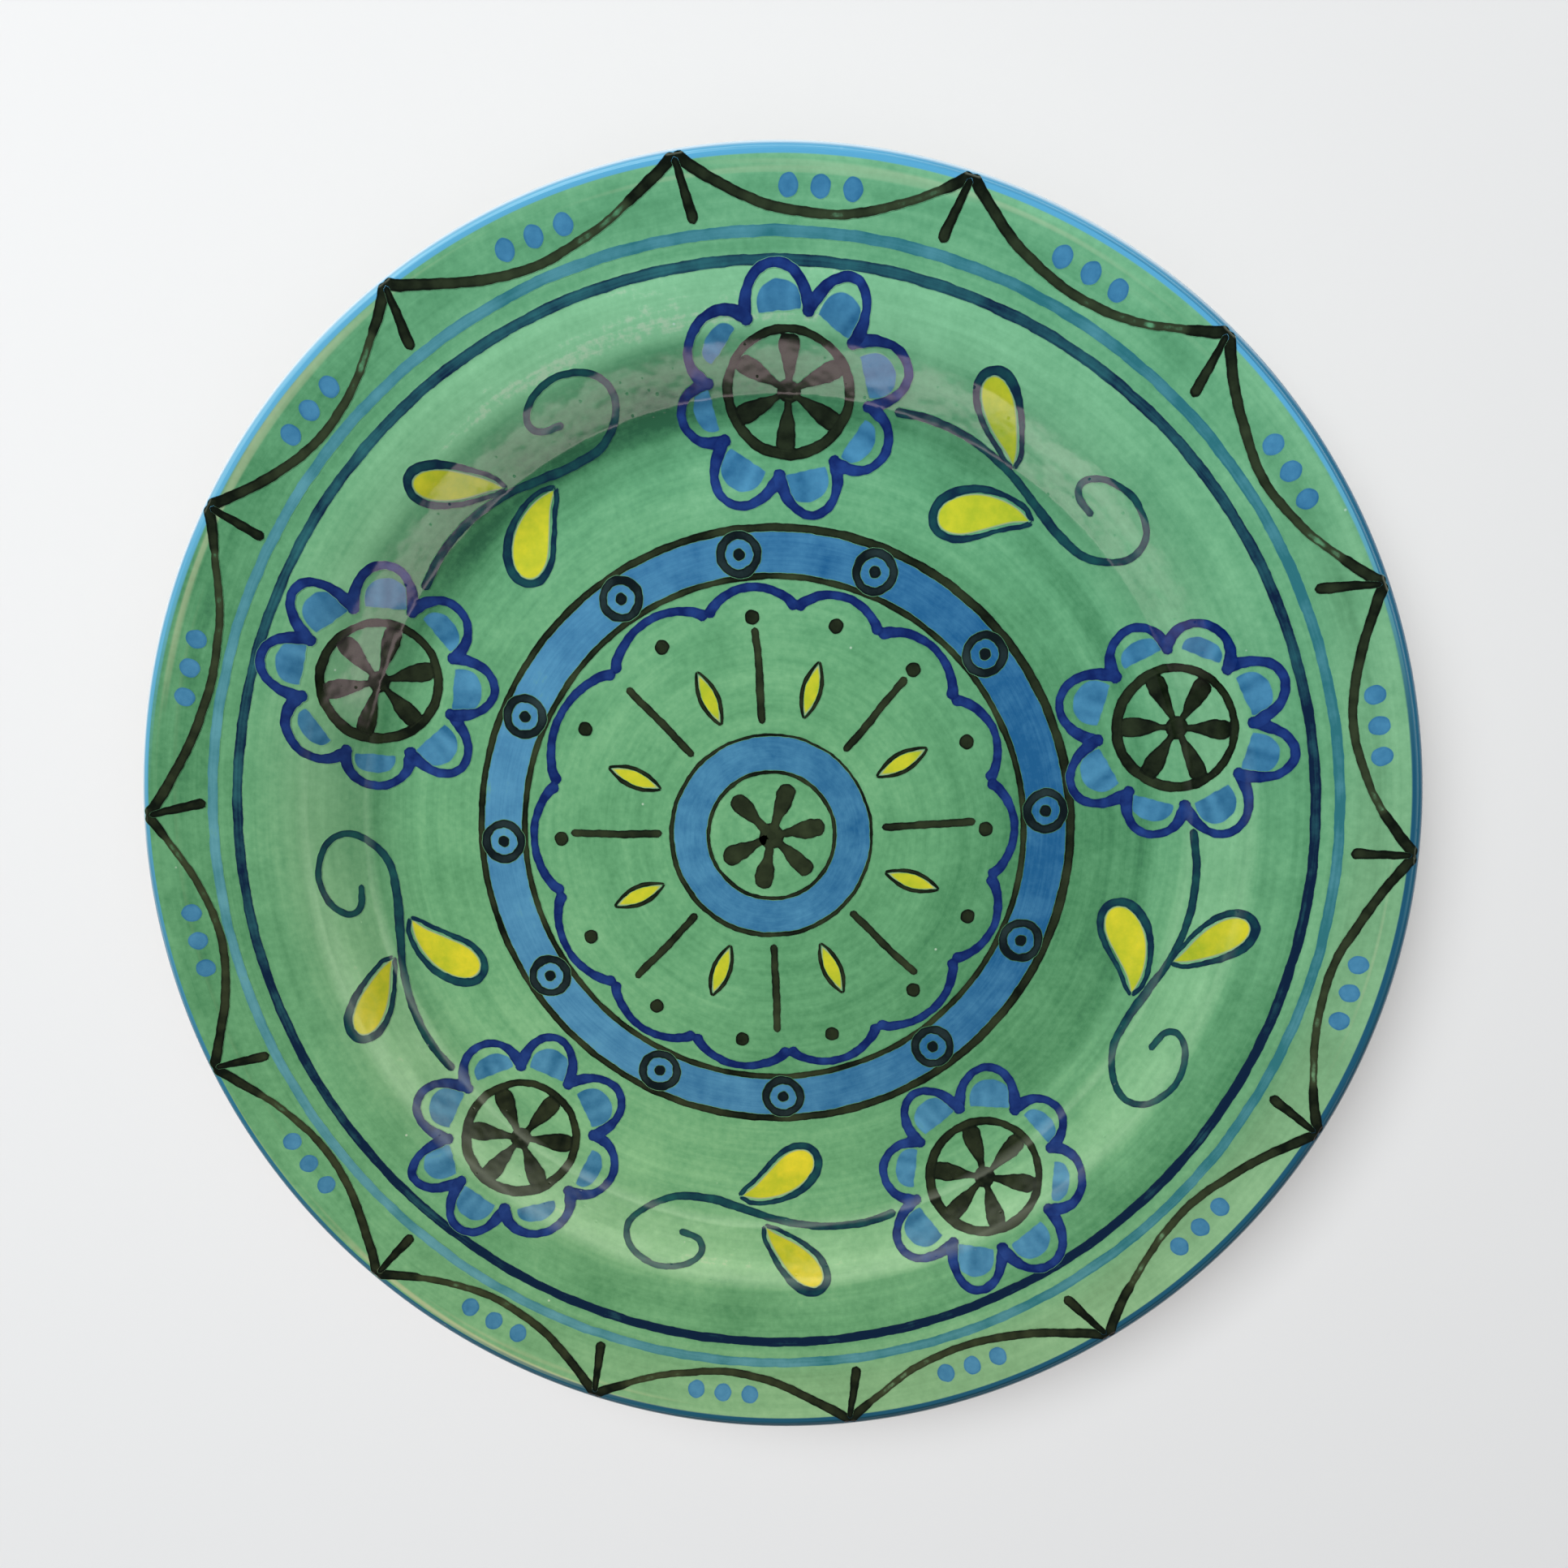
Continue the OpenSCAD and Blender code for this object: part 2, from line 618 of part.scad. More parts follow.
clay_body();
face_glaze();
back_glaze();
lip_band();
rim_swags();
rim_ticks();
rim_dots();
pale_blue_ring();
dark_blue_ring();
for (i = [0:flower_count - 1]) {
    flower_outline(i);
    flower_petals(i);
    flower_heart(i);
    sprig_vine(i);
    sprig_leaves(i);
}
medallion_band();
medallion_lines();
medallion_eyes();
scalloped_line();
scallop_dots();
spokes();
seeds();
seed_outlines();
centre_ring();
centre_lines();
centre_flower();
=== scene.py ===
from math import cos, degrees, pi, radians, sin

import bpy
import numpy as np
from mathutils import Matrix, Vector


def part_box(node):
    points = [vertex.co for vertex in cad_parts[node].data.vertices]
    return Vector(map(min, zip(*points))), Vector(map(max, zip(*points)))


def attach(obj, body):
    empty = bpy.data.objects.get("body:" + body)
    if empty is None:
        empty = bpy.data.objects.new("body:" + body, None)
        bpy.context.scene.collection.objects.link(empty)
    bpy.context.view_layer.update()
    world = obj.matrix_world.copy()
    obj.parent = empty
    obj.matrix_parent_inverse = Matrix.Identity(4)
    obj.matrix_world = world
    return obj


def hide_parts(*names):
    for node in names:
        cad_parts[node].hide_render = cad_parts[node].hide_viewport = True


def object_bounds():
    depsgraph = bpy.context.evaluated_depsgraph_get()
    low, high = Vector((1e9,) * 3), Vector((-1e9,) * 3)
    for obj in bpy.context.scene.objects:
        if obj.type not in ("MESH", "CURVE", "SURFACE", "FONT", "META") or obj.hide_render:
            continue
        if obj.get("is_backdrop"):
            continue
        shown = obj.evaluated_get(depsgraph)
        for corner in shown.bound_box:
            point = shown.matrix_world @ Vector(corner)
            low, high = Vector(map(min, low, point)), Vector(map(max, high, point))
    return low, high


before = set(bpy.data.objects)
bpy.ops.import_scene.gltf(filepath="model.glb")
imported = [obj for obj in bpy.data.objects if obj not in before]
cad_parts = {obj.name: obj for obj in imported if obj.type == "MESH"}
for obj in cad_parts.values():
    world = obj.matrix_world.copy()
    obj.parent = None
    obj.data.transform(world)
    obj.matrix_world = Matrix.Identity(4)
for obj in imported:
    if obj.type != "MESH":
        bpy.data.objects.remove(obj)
cad_low, cad_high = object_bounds()
across_mm = (cad_high.x - cad_low.x) * 1000
print("packed plate:", len(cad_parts), "nodes,", round(across_mm, 1), "mm across")

# %% [markdown]
# ## The section of the face
# A plate is a turned form, so one section says all of its shape: a flat floor, a hollow cove, a straight
# wall, a round shoulder, a sloping flange and a round lip. It could be drawn as a curve and traced, but
# here the section is walked: the slope is known at a few places on the way up and changes evenly between
# them, so small steps taken at that slope give the radius and the height. The distance walked is also
# what a decorator measures with, so the same walk lays the painting on the face further down.
# %% Walk up the face
MM = 0.001
GLAZE = 0.4
WALL_T = 4.8
LIP_R = WALL_T / 2
FOOT_H = 3.0
FLANGE_W = 22.0
FLANGE = radians(12)
WALL = radians(45)
WALL_LEN = 12.0
COVE_R = 18.0
SHOULDER_R = 24.0

plate_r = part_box("lip_band")[1].x / MM
floor_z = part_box("face_glaze")[0].z / MM + GLAZE
shoulder_w = SHOULDER_R * (sin(WALL) - sin(FLANGE))
floor_r = plate_r - FLANGE_W - shoulder_w - WALL_LEN * cos(WALL) - COVE_R * sin(WALL)
flange_len = (FLANGE_W - LIP_R - LIP_R * sin(FLANGE)) / cos(FLANGE)
stretches = [floor_r, COVE_R * WALL, WALL_LEN, SHOULDER_R * (WALL - FLANGE), flange_len, LIP_R * pi]
ends = np.cumsum(stretches)
floor_s, cove_s, wall_s, shoulder_s, flange_s, under_s = ends
lip_s = flange_s + LIP_R * (pi / 2 + FLANGE)

walk = np.linspace(0, under_s, 20001)
slope = np.interp(walk, [0, *ends], [0, 0, WALL, WALL, FLANGE, FLANGE, FLANGE - pi])
step = walk[1]
run = np.concatenate([[0], np.cumsum(np.cos(slope[:-1]) * step)])
rise = floor_z + np.concatenate([[0], np.cumsum(np.sin(slope[:-1]) * step)])


def skin(s, lift=0.0):
    """Radius and height, in millimetres, of the face s along the walk, lifted square to it."""
    tilt = np.interp(s, walk, slope)
    radius = np.interp(s, walk, run) - lift * np.sin(tilt)
    return radius, np.interp(s, walk, rise) + lift * np.cos(tilt)


def lay(flat, lift):
    """Points of the decorator's flat disc, laid on the face and lifted, in metres."""
    s = np.maximum(np.hypot(flat[:, 0], flat[:, 1]), 1e-9)
    radius, height = skin(s, lift)
    return np.column_stack([flat[:, 0] * radius / s, flat[:, 1] * radius / s, height]) * MM


print("the face is walked in", round(lip_s, 1), "mm; top of the lip at", round(rise.max(), 1), "mm")

# %% [markdown]
# ## The camera
# The camera looks down on the plate from just off its middle, close enough for the far rim to look smaller
# than the near one. Its place and turn are round numbers found by matching the ellipses of the rim and the
# rings. The lens shift keeps the plate in the middle of the picture without turning the camera.
# %% Place the camera
CAMERA_AT = Vector((17.31, 27.29, 292.61)) * MM
CAMERA_LENS = 27.54
CAMERA_SHIFT = 0.1035
CAMERA_TURN = (radians(-10.57), radians(3.12), radians(2.53))
bpy.ops.object.camera_add(location=CAMERA_AT, rotation=CAMERA_TURN)
camera = bpy.context.object
camera.data.lens = CAMERA_LENS
camera.data.sensor_width = 36
camera.data.shift_y = CAMERA_SHIFT
camera.data.clip_start = 0.01
bpy.context.scene.camera = camera
print("camera at", [round(x, 3) for x in camera.location])

# %% [markdown]
# ## Light and floor
# A glazed plate is half mirror, so the light does two jobs. Big soft lamps give the even daylight that
# shows the colours as they are, and they are kept out of the gloss. Two curved cards do the other job: they
# glow only in the gloss. One is a thin warm strip, low down on the near side, and gives a crisp pink-grey
# band on the far wall of the well. The other is a wide soft one on the far side, for the pale glow on the
# near wall. A card is a strip of a ball round the plate, and its far end may rise or sink a little. The
# room itself is dim, or its reflection would turn the black lines grey.
# %% A soft lamp
def panel(name, azimuth, elevation, distance, size, power, colour):
    """A square soft lamp that faces the plate from the direction azimuth, counted from +X towards +Y."""
    a, e = radians(azimuth), radians(elevation)
    at = Vector((cos(a) * cos(e), sin(a) * cos(e), sin(e))) * distance
    bpy.ops.object.light_add(type="AREA", location=at, rotation=at.to_track_quat("Z", "Y").to_euler())
    lamp = bpy.context.object
    lamp.name = name
    lamp.data.shape = "SQUARE"
    lamp.data.size = size
    lamp.data.energy = power
    lamp.data.color = colour
    lamp.visible_camera = False
    lamp.visible_glossy = False


# %% A curved card
def card(name, azimuths, elevations, lean, distance, strength, colour):
    """A curved card that glows in the gloss only.

    azimuths and elevations say where it starts, is full, is still full and ends. lean is an azimuth and
    how much the card rises for every degree past it.
    """
    bpy.ops.mesh.primitive_grid_add(x_subdivisions=72, y_subdivisions=24, size=2)
    strip = bpy.context.object
    strip.name = strip.data.name = name
    glow = []
    for point in strip.data.vertices:
        across, up = (point.co.x + 1) / 2, (point.co.y + 1) / 2
        azimuth = azimuths[0] + (azimuths[3] - azimuths[0]) * across
        elevation = elevations[0] + (elevations[3] - elevations[0]) * up
        glow.append(np.interp(azimuth, azimuths, (0, 1, 1, 0))
                    * np.interp(elevation, elevations, (0, 1, 1, 0)))
        elevation += lean[1] * max(0, azimuth - lean[0])
        a, e = radians(azimuth), radians(elevation)
        point.co = Vector((cos(a) * cos(e), sin(a) * cos(e), sin(e))) * distance
    strip.data.attributes.new("glow", "FLOAT", "POINT").data.foreach_set("value", glow)
    light = bpy.data.materials.new(name)
    light.use_nodes = True
    light.node_tree.nodes.clear()
    shine = light.node_tree.nodes.new("ShaderNodeEmission")
    shine.inputs["Color"].default_value = (*colour, 1)
    fade = light.node_tree.nodes.new("ShaderNodeAttribute")
    fade.attribute_name = "glow"
    power = light.node_tree.nodes.new("ShaderNodeMath")
    power.operation = "MULTIPLY"
    power.inputs[1].default_value = strength
    end = light.node_tree.nodes.new("ShaderNodeOutputMaterial")
    light.node_tree.links.new(fade.outputs["Fac"], power.inputs[0])
    light.node_tree.links.new(power.outputs[0], shine.inputs["Strength"])
    light.node_tree.links.new(shine.outputs[0], end.inputs["Surface"])
    strip.data.materials.append(light)
    strip.visible_camera = False
    strip.visible_diffuse = False
    strip.visible_shadow = False
    strip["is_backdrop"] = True


# %% Set the lamps and the cards
panel("daylight", 140, 62, 1.5, 0.9, 19, (0.98, 1, 1))
panel("fill", 320, 55, 1.5, 1.6, 3, (1, 0.98, 0.96))
panel("overhead", 0, 90, 2.2, 4.0, 17, (1, 1, 1))
card("warm_card", (205, 232, 336, 340), (17.1, 17.2, 19.4, 19.5), (261, 0.100), 0.78, 3.2,
     (1, 0.78, 0.80))
card("window_card", (-25, 20, 120, 215), (27.6, 31.2, 33.0, 48), (95, -0.085), 1.2, 3.0,
     (0.92, 1, 0.78))

# %% Dim the room and lay the floor
ROOM_LIGHT = 0.13
world = bpy.data.worlds.new("plain_room")
bpy.context.scene.world = world
world.use_nodes = True
sky = world.node_tree.nodes["Background"].inputs
sky["Color"].default_value = (1, 1, 1, 1)
sky["Strength"].default_value = ROOM_LIGHT
bpy.context.scene.view_settings.view_transform = "Standard"

FLOOR_SIZE = 6.0
bpy.ops.mesh.primitive_plane_add(size=FLOOR_SIZE)
floor = bpy.context.object
floor.name = "floor"
paper = bpy.data.materials.new("pale_floor")
paper.use_nodes = True
matt = paper.node_tree.nodes["Principled BSDF"].inputs
matt["Base Color"].default_value = (0.80, 0.80, 0.81, 1)
matt["Roughness"].default_value = 0.9
floor.data.materials.append(paper)
floor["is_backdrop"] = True
print("floor", FLOOR_SIZE, "m across")

# %% [markdown]
# ## A small kit for the finishes
# Every finish on this plate lies under the same clear glaze, so the finishes share their parts: groups of
# nodes that are wired once and used everywhere. These helpers add a node, set it and link it in one line,
# which keeps each recipe short enough to read.
# %% Helpers for wiring nodes
def add(tree, kind, inputs=None, **settings):
    """A node with its settings; inputs maps a socket to a value or to the socket that feeds it."""
    made = tree.nodes.new("ShaderNode" + kind)
    for key, value in settings.items():
        setattr(made, key, value)
    for key, value in (inputs or {}).items():
        if isinstance(value, bpy.types.NodeSocket):
            tree.links.new(value, made.inputs[key])
        else:
            made.inputs[key].default_value = value
    return made


def maths(tree, operation, a, b=0.0, clamp=False):
    return add(tree, "Math", {0: a, 1: b}, operation=operation, use_clamp=clamp).outputs[0]


# %% Helpers for colours and masks
def ramp(tree, factor, stops):
    """A colour ramp; a stop is (place, colour) with a grey given as one number."""
    made = add(tree, "ValToRGB", {0: factor})
    line = made.color_ramp
    while len(line.elements) < len(stops):
        line.elements.new(0.5)
    for element, (place, colour) in zip(line.elements, stops):
        element.position = place
        element.color = (colour,) * 3 + (1,) if isinstance(colour, (int, float)) else (*colour, 1)
    return made.outputs["Color"]


def step_up(tree, value, low, high):
    """0 below low, 1 above high, smooth between."""
    made = add(tree, "MapRange", {0: value, 1: low, 2: high, 3: 0.0, 4: 1.0},
               interpolation_type="SMOOTHSTEP")
    return made.outputs[0]


def across_zero(tree, pattern, size):
    """A pattern that runs from 0 to 1, made to swing size up and down about 0."""
    return maths(tree, "MULTIPLY", maths(tree, "SUBTRACT", pattern, 0.5), size)


def facing(tree, direction, x, y):
    """How much a direction on the plate points towards (x, y)."""
    made = add(tree, "VectorMath", {0: direction, 1: (x, y, 0)}, operation="DOT_PRODUCT")
    return made.outputs["Value"]


def blend(tree, factor, a, b, mode="MIX"):
    """Colour a turned into colour b by a factor; each may be a value or a socket."""
    made = add(tree, "Mix", data_type="RGBA", blend_type=mode)
    for place, value in ((0, factor), (6, a), (7, b)):
        if isinstance(value, bpy.types.NodeSocket):
            tree.links.new(value, made.inputs[place])
        elif place == 0:
            made.inputs[0].default_value = value
        else:
            made.inputs[place].default_value = (*value, 1)
    return made.outputs[2]


# %% A noise and an empty group
def noise(tree, vector, scale, detail=2.0, rough=0.5):
    sockets = {"Vector": vector, "Scale": scale, "Detail": detail, "Roughness": rough}
    return add(tree, "TexNoise", sockets).outputs["Fac"]


def group(name, outputs):
    """An empty group of nodes with outputs, each (name, kind)."""
    tree = bpy.data.node_groups.new(name, "ShaderNodeTree")
    for label, kind in outputs:
        tree.interface.new_socket(label, in_out="OUTPUT", socket_type=kind)
    end = tree.nodes.new("NodeGroupOutput")
    return tree, end


# %% [markdown]
# ## Where a point lies on the wheel
# Brush marks on a turned plate run round it, so the patterns need wheel coordinates: how far from the
# middle, and which way. The way round is kept as a direction and not as an angle, because an angle has a
# seam where it starts again and a direction has none. A noise that is read at (direction, radius × many)
# changes slowly round the plate and fast across it, which is what the streaks of a wheel look like.
# %% Wheel coordinates
wheel, wheel_end = group("wheel_place", [("Place", "NodeSocketVector"), ("Radius", "NodeSocketFloat"),
                                         ("Direction", "NodeSocketVector"), ("Streak", "NodeSocketVector")])
place = add(wheel, "TexCoord").outputs["Object"]
flat_place = add(wheel, "VectorMath", {0: place, 1: (1, 1, 0)}, operation="MULTIPLY").outputs[0]
radius_mm = maths(wheel, "MULTIPLY",
                  add(wheel, "VectorMath", {0: flat_place}, operation="LENGTH").outputs["Value"], 1 / MM)
direction = add(wheel, "VectorMath", {0: flat_place}, operation="NORMALIZE").outputs[0]
across = add(wheel, "CombineXYZ", {"Z": maths(wheel, "MULTIPLY", radius_mm, 0.35)}).outputs[0]
streak = add(wheel, "VectorMath", {0: direction, 1: across}, operation="ADD").outputs[0]
found = {"Place": place, "Radius": radius_mm, "Direction": direction, "Streak": streak}
for label, socket in found.items():
    wheel.links.new(socket, wheel_end.inputs[label])
print("group", wheel.name)

# %% [markdown]
# ## The green ground
# The green is a wash: where it lies thick it is a deep bottle green, where it is thin it pales, and where
# the brush missed, the cream clay shows. One number, how thick the wash is, drives a ramp of colour, and
# everything that changes the wash adds to that number: the zones of the plate, patches darker or lighter
# towards a side, streaks round the wheel, soft mottling and a fine grain. The zones and the patches also
# carry painted light: painted shade on the upper-left wall of the well, and a painted highlight on the
# upper wall, the far shoulder and the near cove. Last, the blue of the lip runs a little way in over the
# green on two sides, dark on the lower right and pale on the far side, partly as painted shade and light.
# %% The wash by zone
ground, ground_end = group("green_wash", [("Color", "NodeSocketColor")])
spot = add(ground, "Group", node_tree=wheel).outputs
# Wash by radius: the pale band on the upper wall and the shoulder is partly thinner wash and partly a
# painted highlight.
zone = ramp(ground, maths(ground, "DIVIDE", spot["Radius"], plate_r),
            [(0.0, 0.51), (0.40, 0.51), (0.60, 0.52), (0.635, 0.56), (0.675, 0.50), (0.71, 0.33),
             (0.743, 0.16), (0.78, 0.40), (0.82, 0.50), (0.93, 0.51), (1.0, 0.44)])


def rings_between(r0, r1, r2, r3):
    """1 between the radii r1 and r2, 0 inside r0 and outside r3, smooth between."""
    begun = step_up(ground, spot["Radius"], r0, r1)
    return maths(ground, "SUBTRACT", begun, step_up(ground, spot["Radius"], r2, r3))


def patch(x, y, where, strength, tight=2.0):
    """More wash (less, below 0) in a patch on the side of the plate that lies towards (x, y)."""
    way = Vector((x, y, 0)).normalized()
    found = maths(ground, "MAXIMUM", facing(ground, spot["Direction"], way.x, way.y), 0.0)
    found = maths(ground, "POWER", found, tight)
    return maths(ground, "MULTIPLY", maths(ground, "MULTIPLY", found, where), strength)


# %% Add the sides, the streaks and the grain to the wash
# Painted light among these rows: (-0.42, 0.91) darkens the upper-left wall as painted shade; (-0.4, -0.92)
# on the near cove and the 105-122 mm row towards (-0.2, 0.98) on the far shoulder lighten them as painted
# highlight. The other rows make the wash darker or lighter towards a side.
side = 0.0
for x, y, radii, strength, tight in (
        (1, -0.08, (34, 76, 86, 92), 0.28, 2.0), (0.5, -0.87, (18, 40, 60, 76), 0.10, 2.0),
        (-0.2, 0.98, (18, 40, 76, 86), -0.05, 2.0), (-0.4, -0.92, (68, 78, 97, 101), -0.13, 3.0),
        (-0.42, 0.91, (89, 95, 103, 109), 0.52, 2.0), (-0.2, 0.98, (105, 110, 116, 122), -0.36, 2.0),
        (0.6, -0.8, (105, 110, 117, 123), 0.18, 1.0), (-1, 0.1, (118, 126, 150, 160), 0.22, 2.0),
        (0.3, 0.95, (130, 137, 150, 160), -0.16, 2.0)):
    side = maths(ground, "ADD", side, patch(x, y, rings_between(*radii), strength, tight))
broad = noise(ground, spot["Streak"], 0.55, 3.0, 0.6)
fine = noise(ground, spot["Streak"], 2.6, 4.0, 0.6)
mottle = noise(ground, spot["Place"], 60.0, 4.0, 0.6)
grain = noise(ground, spot["Place"], 620.0, 3.0, 0.6)
wash = maths(ground, "ADD", zone, side)
for pattern, strength in ((broad, 0.48), (fine, 0.27), (mottle, 0.48), (grain, 0.34)):
    wash = maths(ground, "ADD", wash, across_zero(ground, pattern, strength))

# %% Colour the wash
green = ramp(ground, wash, [
    (0.0, (0.42, 0.60, 0.37)), (0.08, (0.265, 0.56, 0.29)), (0.28, (0.205, 0.47, 0.235)),
    (0.52, (0.130, 0.360, 0.170)), (0.78, (0.070, 0.245, 0.105)), (1.0, (0.030, 0.135, 0.060))])
missed = step_up(ground, noise(ground, spot["Streak"], 0.9, 2.0, 0.5), 0.56, 0.68)
bare = maths(ground, "MULTIPLY", rings_between(131, 138, 150, 160), missed)
near_side = patch(0.7, -0.7, rings_between(118, 130, 150, 160), 0.13, 1.0)
bare = maths(ground, "ADD", maths(ground, "MULTIPLY", bare, 0.45), near_side)
green = blend(ground, bare, green, (0.60, 0.60, 0.36))
# The lip's blue runs in over the green: dark on the lower right and pale on the far side, partly painted
# shade and painted light as on the lip itself.
lip_side = step_up(ground, spot["Radius"], 136.6, 137.3)
for x, y, blue in ((0.7, -0.7, (0.010, 0.085, 0.150)), (-0.1, 1.0, (0.110, 0.390, 0.570))):
    green = blend(ground, step_up(ground, patch(x, y, lip_side, 1.0, 1.0), 0.1, 0.6), green, blue)
flecks = add(ground, "TexVoronoi", {"Vector": spot["Place"], "Scale": 75.0}).outputs["Distance"]
flecks = maths(ground, "SUBTRACT", 1.0, step_up(ground, flecks, 0.010, 0.030))
flecks = maths(ground, "MULTIPLY", flecks, 0.6)
green = blend(ground, flecks, green, (0.62, 0.74, 0.60))
ground.links.new(green, ground_end.inputs["Color"])
print("group", ground.name)

# %% [markdown]
# ## The clear glaze
# Over all of it lies the same glass. It is smooth but never perfect: it settles in very shallow waves that
# bend a reflection a little, and it holds pinholes and faint scratches from use. The waves and the pinholes
# go into a bump, and the scratches into the roughness, so the gloss itself tells that it is a hand-dipped
# glaze. Under the glass every colour also takes painted light: painted warm light on the near side and
# painted cool light on the far side.
# %% Wire the clear glaze
glass, glass_end = group("clear_glaze", [("Normal", "NodeSocketVector"), ("Roughness", "NodeSocketFloat")])
spot = add(glass, "Group", node_tree=wheel).outputs
waves = noise(glass, spot["Place"], 130.0, 2.0, 0.5)
pits = add(glass, "TexVoronoi", {"Vector": spot["Place"], "Scale": 260.0}, feature="F1").outputs["Distance"]
pits = maths(glass, "SUBTRACT", 1.0, step_up(glass, pits, 0.02, 0.10))
height = maths(glass, "SUBTRACT", waves, maths(glass, "MULTIPLY", pits, 0.5))
normal = add(glass, "Bump", {"Strength": 0.10, "Distance": 0.0006, "Height": height}).outputs["Normal"]
scuff = noise(glass, spot["Place"], 900.0, 4.0, 0.7)
rough = maths(glass, "ADD", 0.07, maths(glass, "MULTIPLY", step_up(glass, scuff, 0.62, 0.75), 0.10))
glass.links.new(normal, glass_end.inputs["Normal"])
glass.links.new(rough, glass_end.inputs["Roughness"])
print("group", glass.name)

# %% Paint warm and cool light into the colour
light_tint, light_tint_end = group("painted_light_tint", [("Color", "NodeSocketColor")])
spot = add(light_tint, "Group", node_tree=wheel).outputs
# Painted light: warm on the near side and cool on the far side, fading in from the middle outwards.
side = facing(light_tint, spot["Direction"], 0.30, 0.95)
side = maths(light_tint, "ADD", maths(light_tint, "MULTIPLY", side, 0.5), 0.5)
painted_cast = blend(light_tint, side, (1.15, 0.99, 0.95), (0.88, 1.0, 1.13))
painted_cast = blend(light_tint, step_up(light_tint, spot["Radius"], 12.0, 110.0), (1, 1, 1), painted_cast)
light_tint.links.new(painted_cast, light_tint_end.inputs["Color"])
print("group", light_tint.name)

# %% Put a colour under the glaze
GLAZE_IOR = 1.5


def under_glaze(tree, shader, colour):
    """Feed a colour to the shader, multiplied by the painted warm and cool light."""
    painted_light_cast = add(tree, "Group", node_tree=light_tint).outputs["Color"]
    tree.links.new(blend(tree, 1.0, colour, painted_light_cast, "MULTIPLY"), shader.inputs["Base Color"])


def glazed(name):
    """A material under the clear glaze, with its tree and its shader, whose colour is still to be fed."""
    made = bpy.data.materials.new(name)
    made.use_nodes = True
    tree = made.node_tree
    shader = tree.nodes["Principled BSDF"]
    shader.inputs["IOR"].default_value = GLAZE_IOR
    coat = add(tree, "Group", node_tree=glass).outputs
    tree.links.new(coat["Normal"], shader.inputs["Normal"])
    tree.links.new(coat["Roughness"], shader.inputs["Roughness"])
    return made, tree, shader


green_glaze, tree, shader = glazed("green_glaze")
under_glaze(tree, shader, add(tree, "Group", node_tree=ground).outputs["Color"])
print("material", green_glaze.name)

# %% [markdown]
# ## Brush colours
# A brush stroke of stain is never one colour. It is deep where the brush was full and pale, with the green
# showing through, where it ran dry; stain gathers along the edge of a stroke and the very edge is soft.
# Each piece of paint carries two numbers at every point: "edge", how far the point is from the side of
# the stroke, and "load", how full the brush was there. Both are attributes, so they follow the stroke
# wherever it turns. The recipe below reads them and gives every brush colour the same way.
# %% Wire a brush colour
def brush_colour(name, thin, thick, pool=0.4, soft=0.16, streaky=0.0, rim=None, rim_w=0.5):
    """A brush colour from thin to thick over the green, which shows through where the brush ran dry.

    pool is how much deeper the stain gathers at an edge, soft the width of the faded edge, streaky how
    strongly the wheel streaks it, and rim the colour that the stain takes within rim_w of its edge, in
    millimetres.
    """
    made, tree, shader = glazed(name)
    spot = add(tree, "Group", node_tree=wheel).outputs
    edge = add(tree, "Attribute", attribute_name="edge").outputs["Fac"]
    load = add(tree, "Attribute", attribute_name="load").outputs["Fac"]
    fine = noise(tree, spot["Place"], 700.0, 3.0, 0.6)
    slow = noise(tree, spot["Place"], 170.0, 2.0, 0.5)
    depth = maths(tree, "ADD", load, across_zero(tree, fine, 0.5))
    depth = maths(tree, "ADD", depth, across_zero(tree, slow, 0.9))
    if streaky:
        turned_in = noise(tree, spot["Streak"], 4.2, 4.0, 0.65)
        depth = maths(tree, "ADD", depth, across_zero(tree, turned_in, streaky))
    near = maths(tree, "SUBTRACT", 1.0, step_up(tree, edge, 0.1, 0.7))
    depth = maths(tree, "ADD", depth, maths(tree, "MULTIPLY", near, pool))
    stain = ramp(tree, maths(tree, "ADD", depth, 0.0, clamp=True), [(0.0, thin), (1.0, thick)])
    if rim is not None:
        at_edge = maths(tree, "SUBTRACT", 1.0, step_up(tree, edge, 0.1, 0.1 + rim_w))
        stain = blend(tree, at_edge, stain, rim)
    ragged = maths(tree, "ADD", edge, across_zero(tree, fine, 0.10))
    cover = maths(tree, "MULTIPLY", step_up(tree, ragged, 0.0, soft), step_up(tree, depth, -0.45, 0.0))
    below = add(tree, "Group", node_tree=ground).outputs["Color"]
    under_glaze(tree, shader, blend(tree, cover, below, stain))
    return made


# %% Mix the brush colours
MID_BLUE = ((0.085, 0.29, 0.45), (0.012, 0.105, 0.22))
BROWN_BLACK = ((0.034, 0.048, 0.020), (0.001, 0.004, 0.001))
brown_black = brush_colour("brown_black", *BROWN_BLACK)
tick_black = brush_colour("tick_black", *BROWN_BLACK, soft=0.04)
cobalt = brush_colour("cobalt", (0.024, 0.078, 0.30), (0.001, 0.012, 0.098), pool=0.25)
petal_blue = brush_colour("petal_blue", *MID_BLUE, pool=0.1, soft=0.35)
dot_blue = brush_colour("dot_blue", *MID_BLUE, pool=0.2)
band_blue = brush_colour("band_blue", (0.080, 0.27, 0.44), (0.011, 0.105, 0.250), pool=0.1, streaky=0.7)
pale_blue = brush_colour("pale_blue", (0.10, 0.31, 0.35), (0.025, 0.16, 0.175), pool=0.2, streaky=0.8)
dark_blue = brush_colour("dark_blue", (0.026, 0.140, 0.15), (0.0005, 0.012, 0.040), pool=0.3, streaky=1.0)
vine_teal = brush_colour("vine_teal", (0.013, 0.115, 0.100), (0.001, 0.020, 0.046), pool=0.3)
eye_black = brush_colour("eye_black", (0.028, 0.052, 0.052), (0.001, 0.006, 0.008))
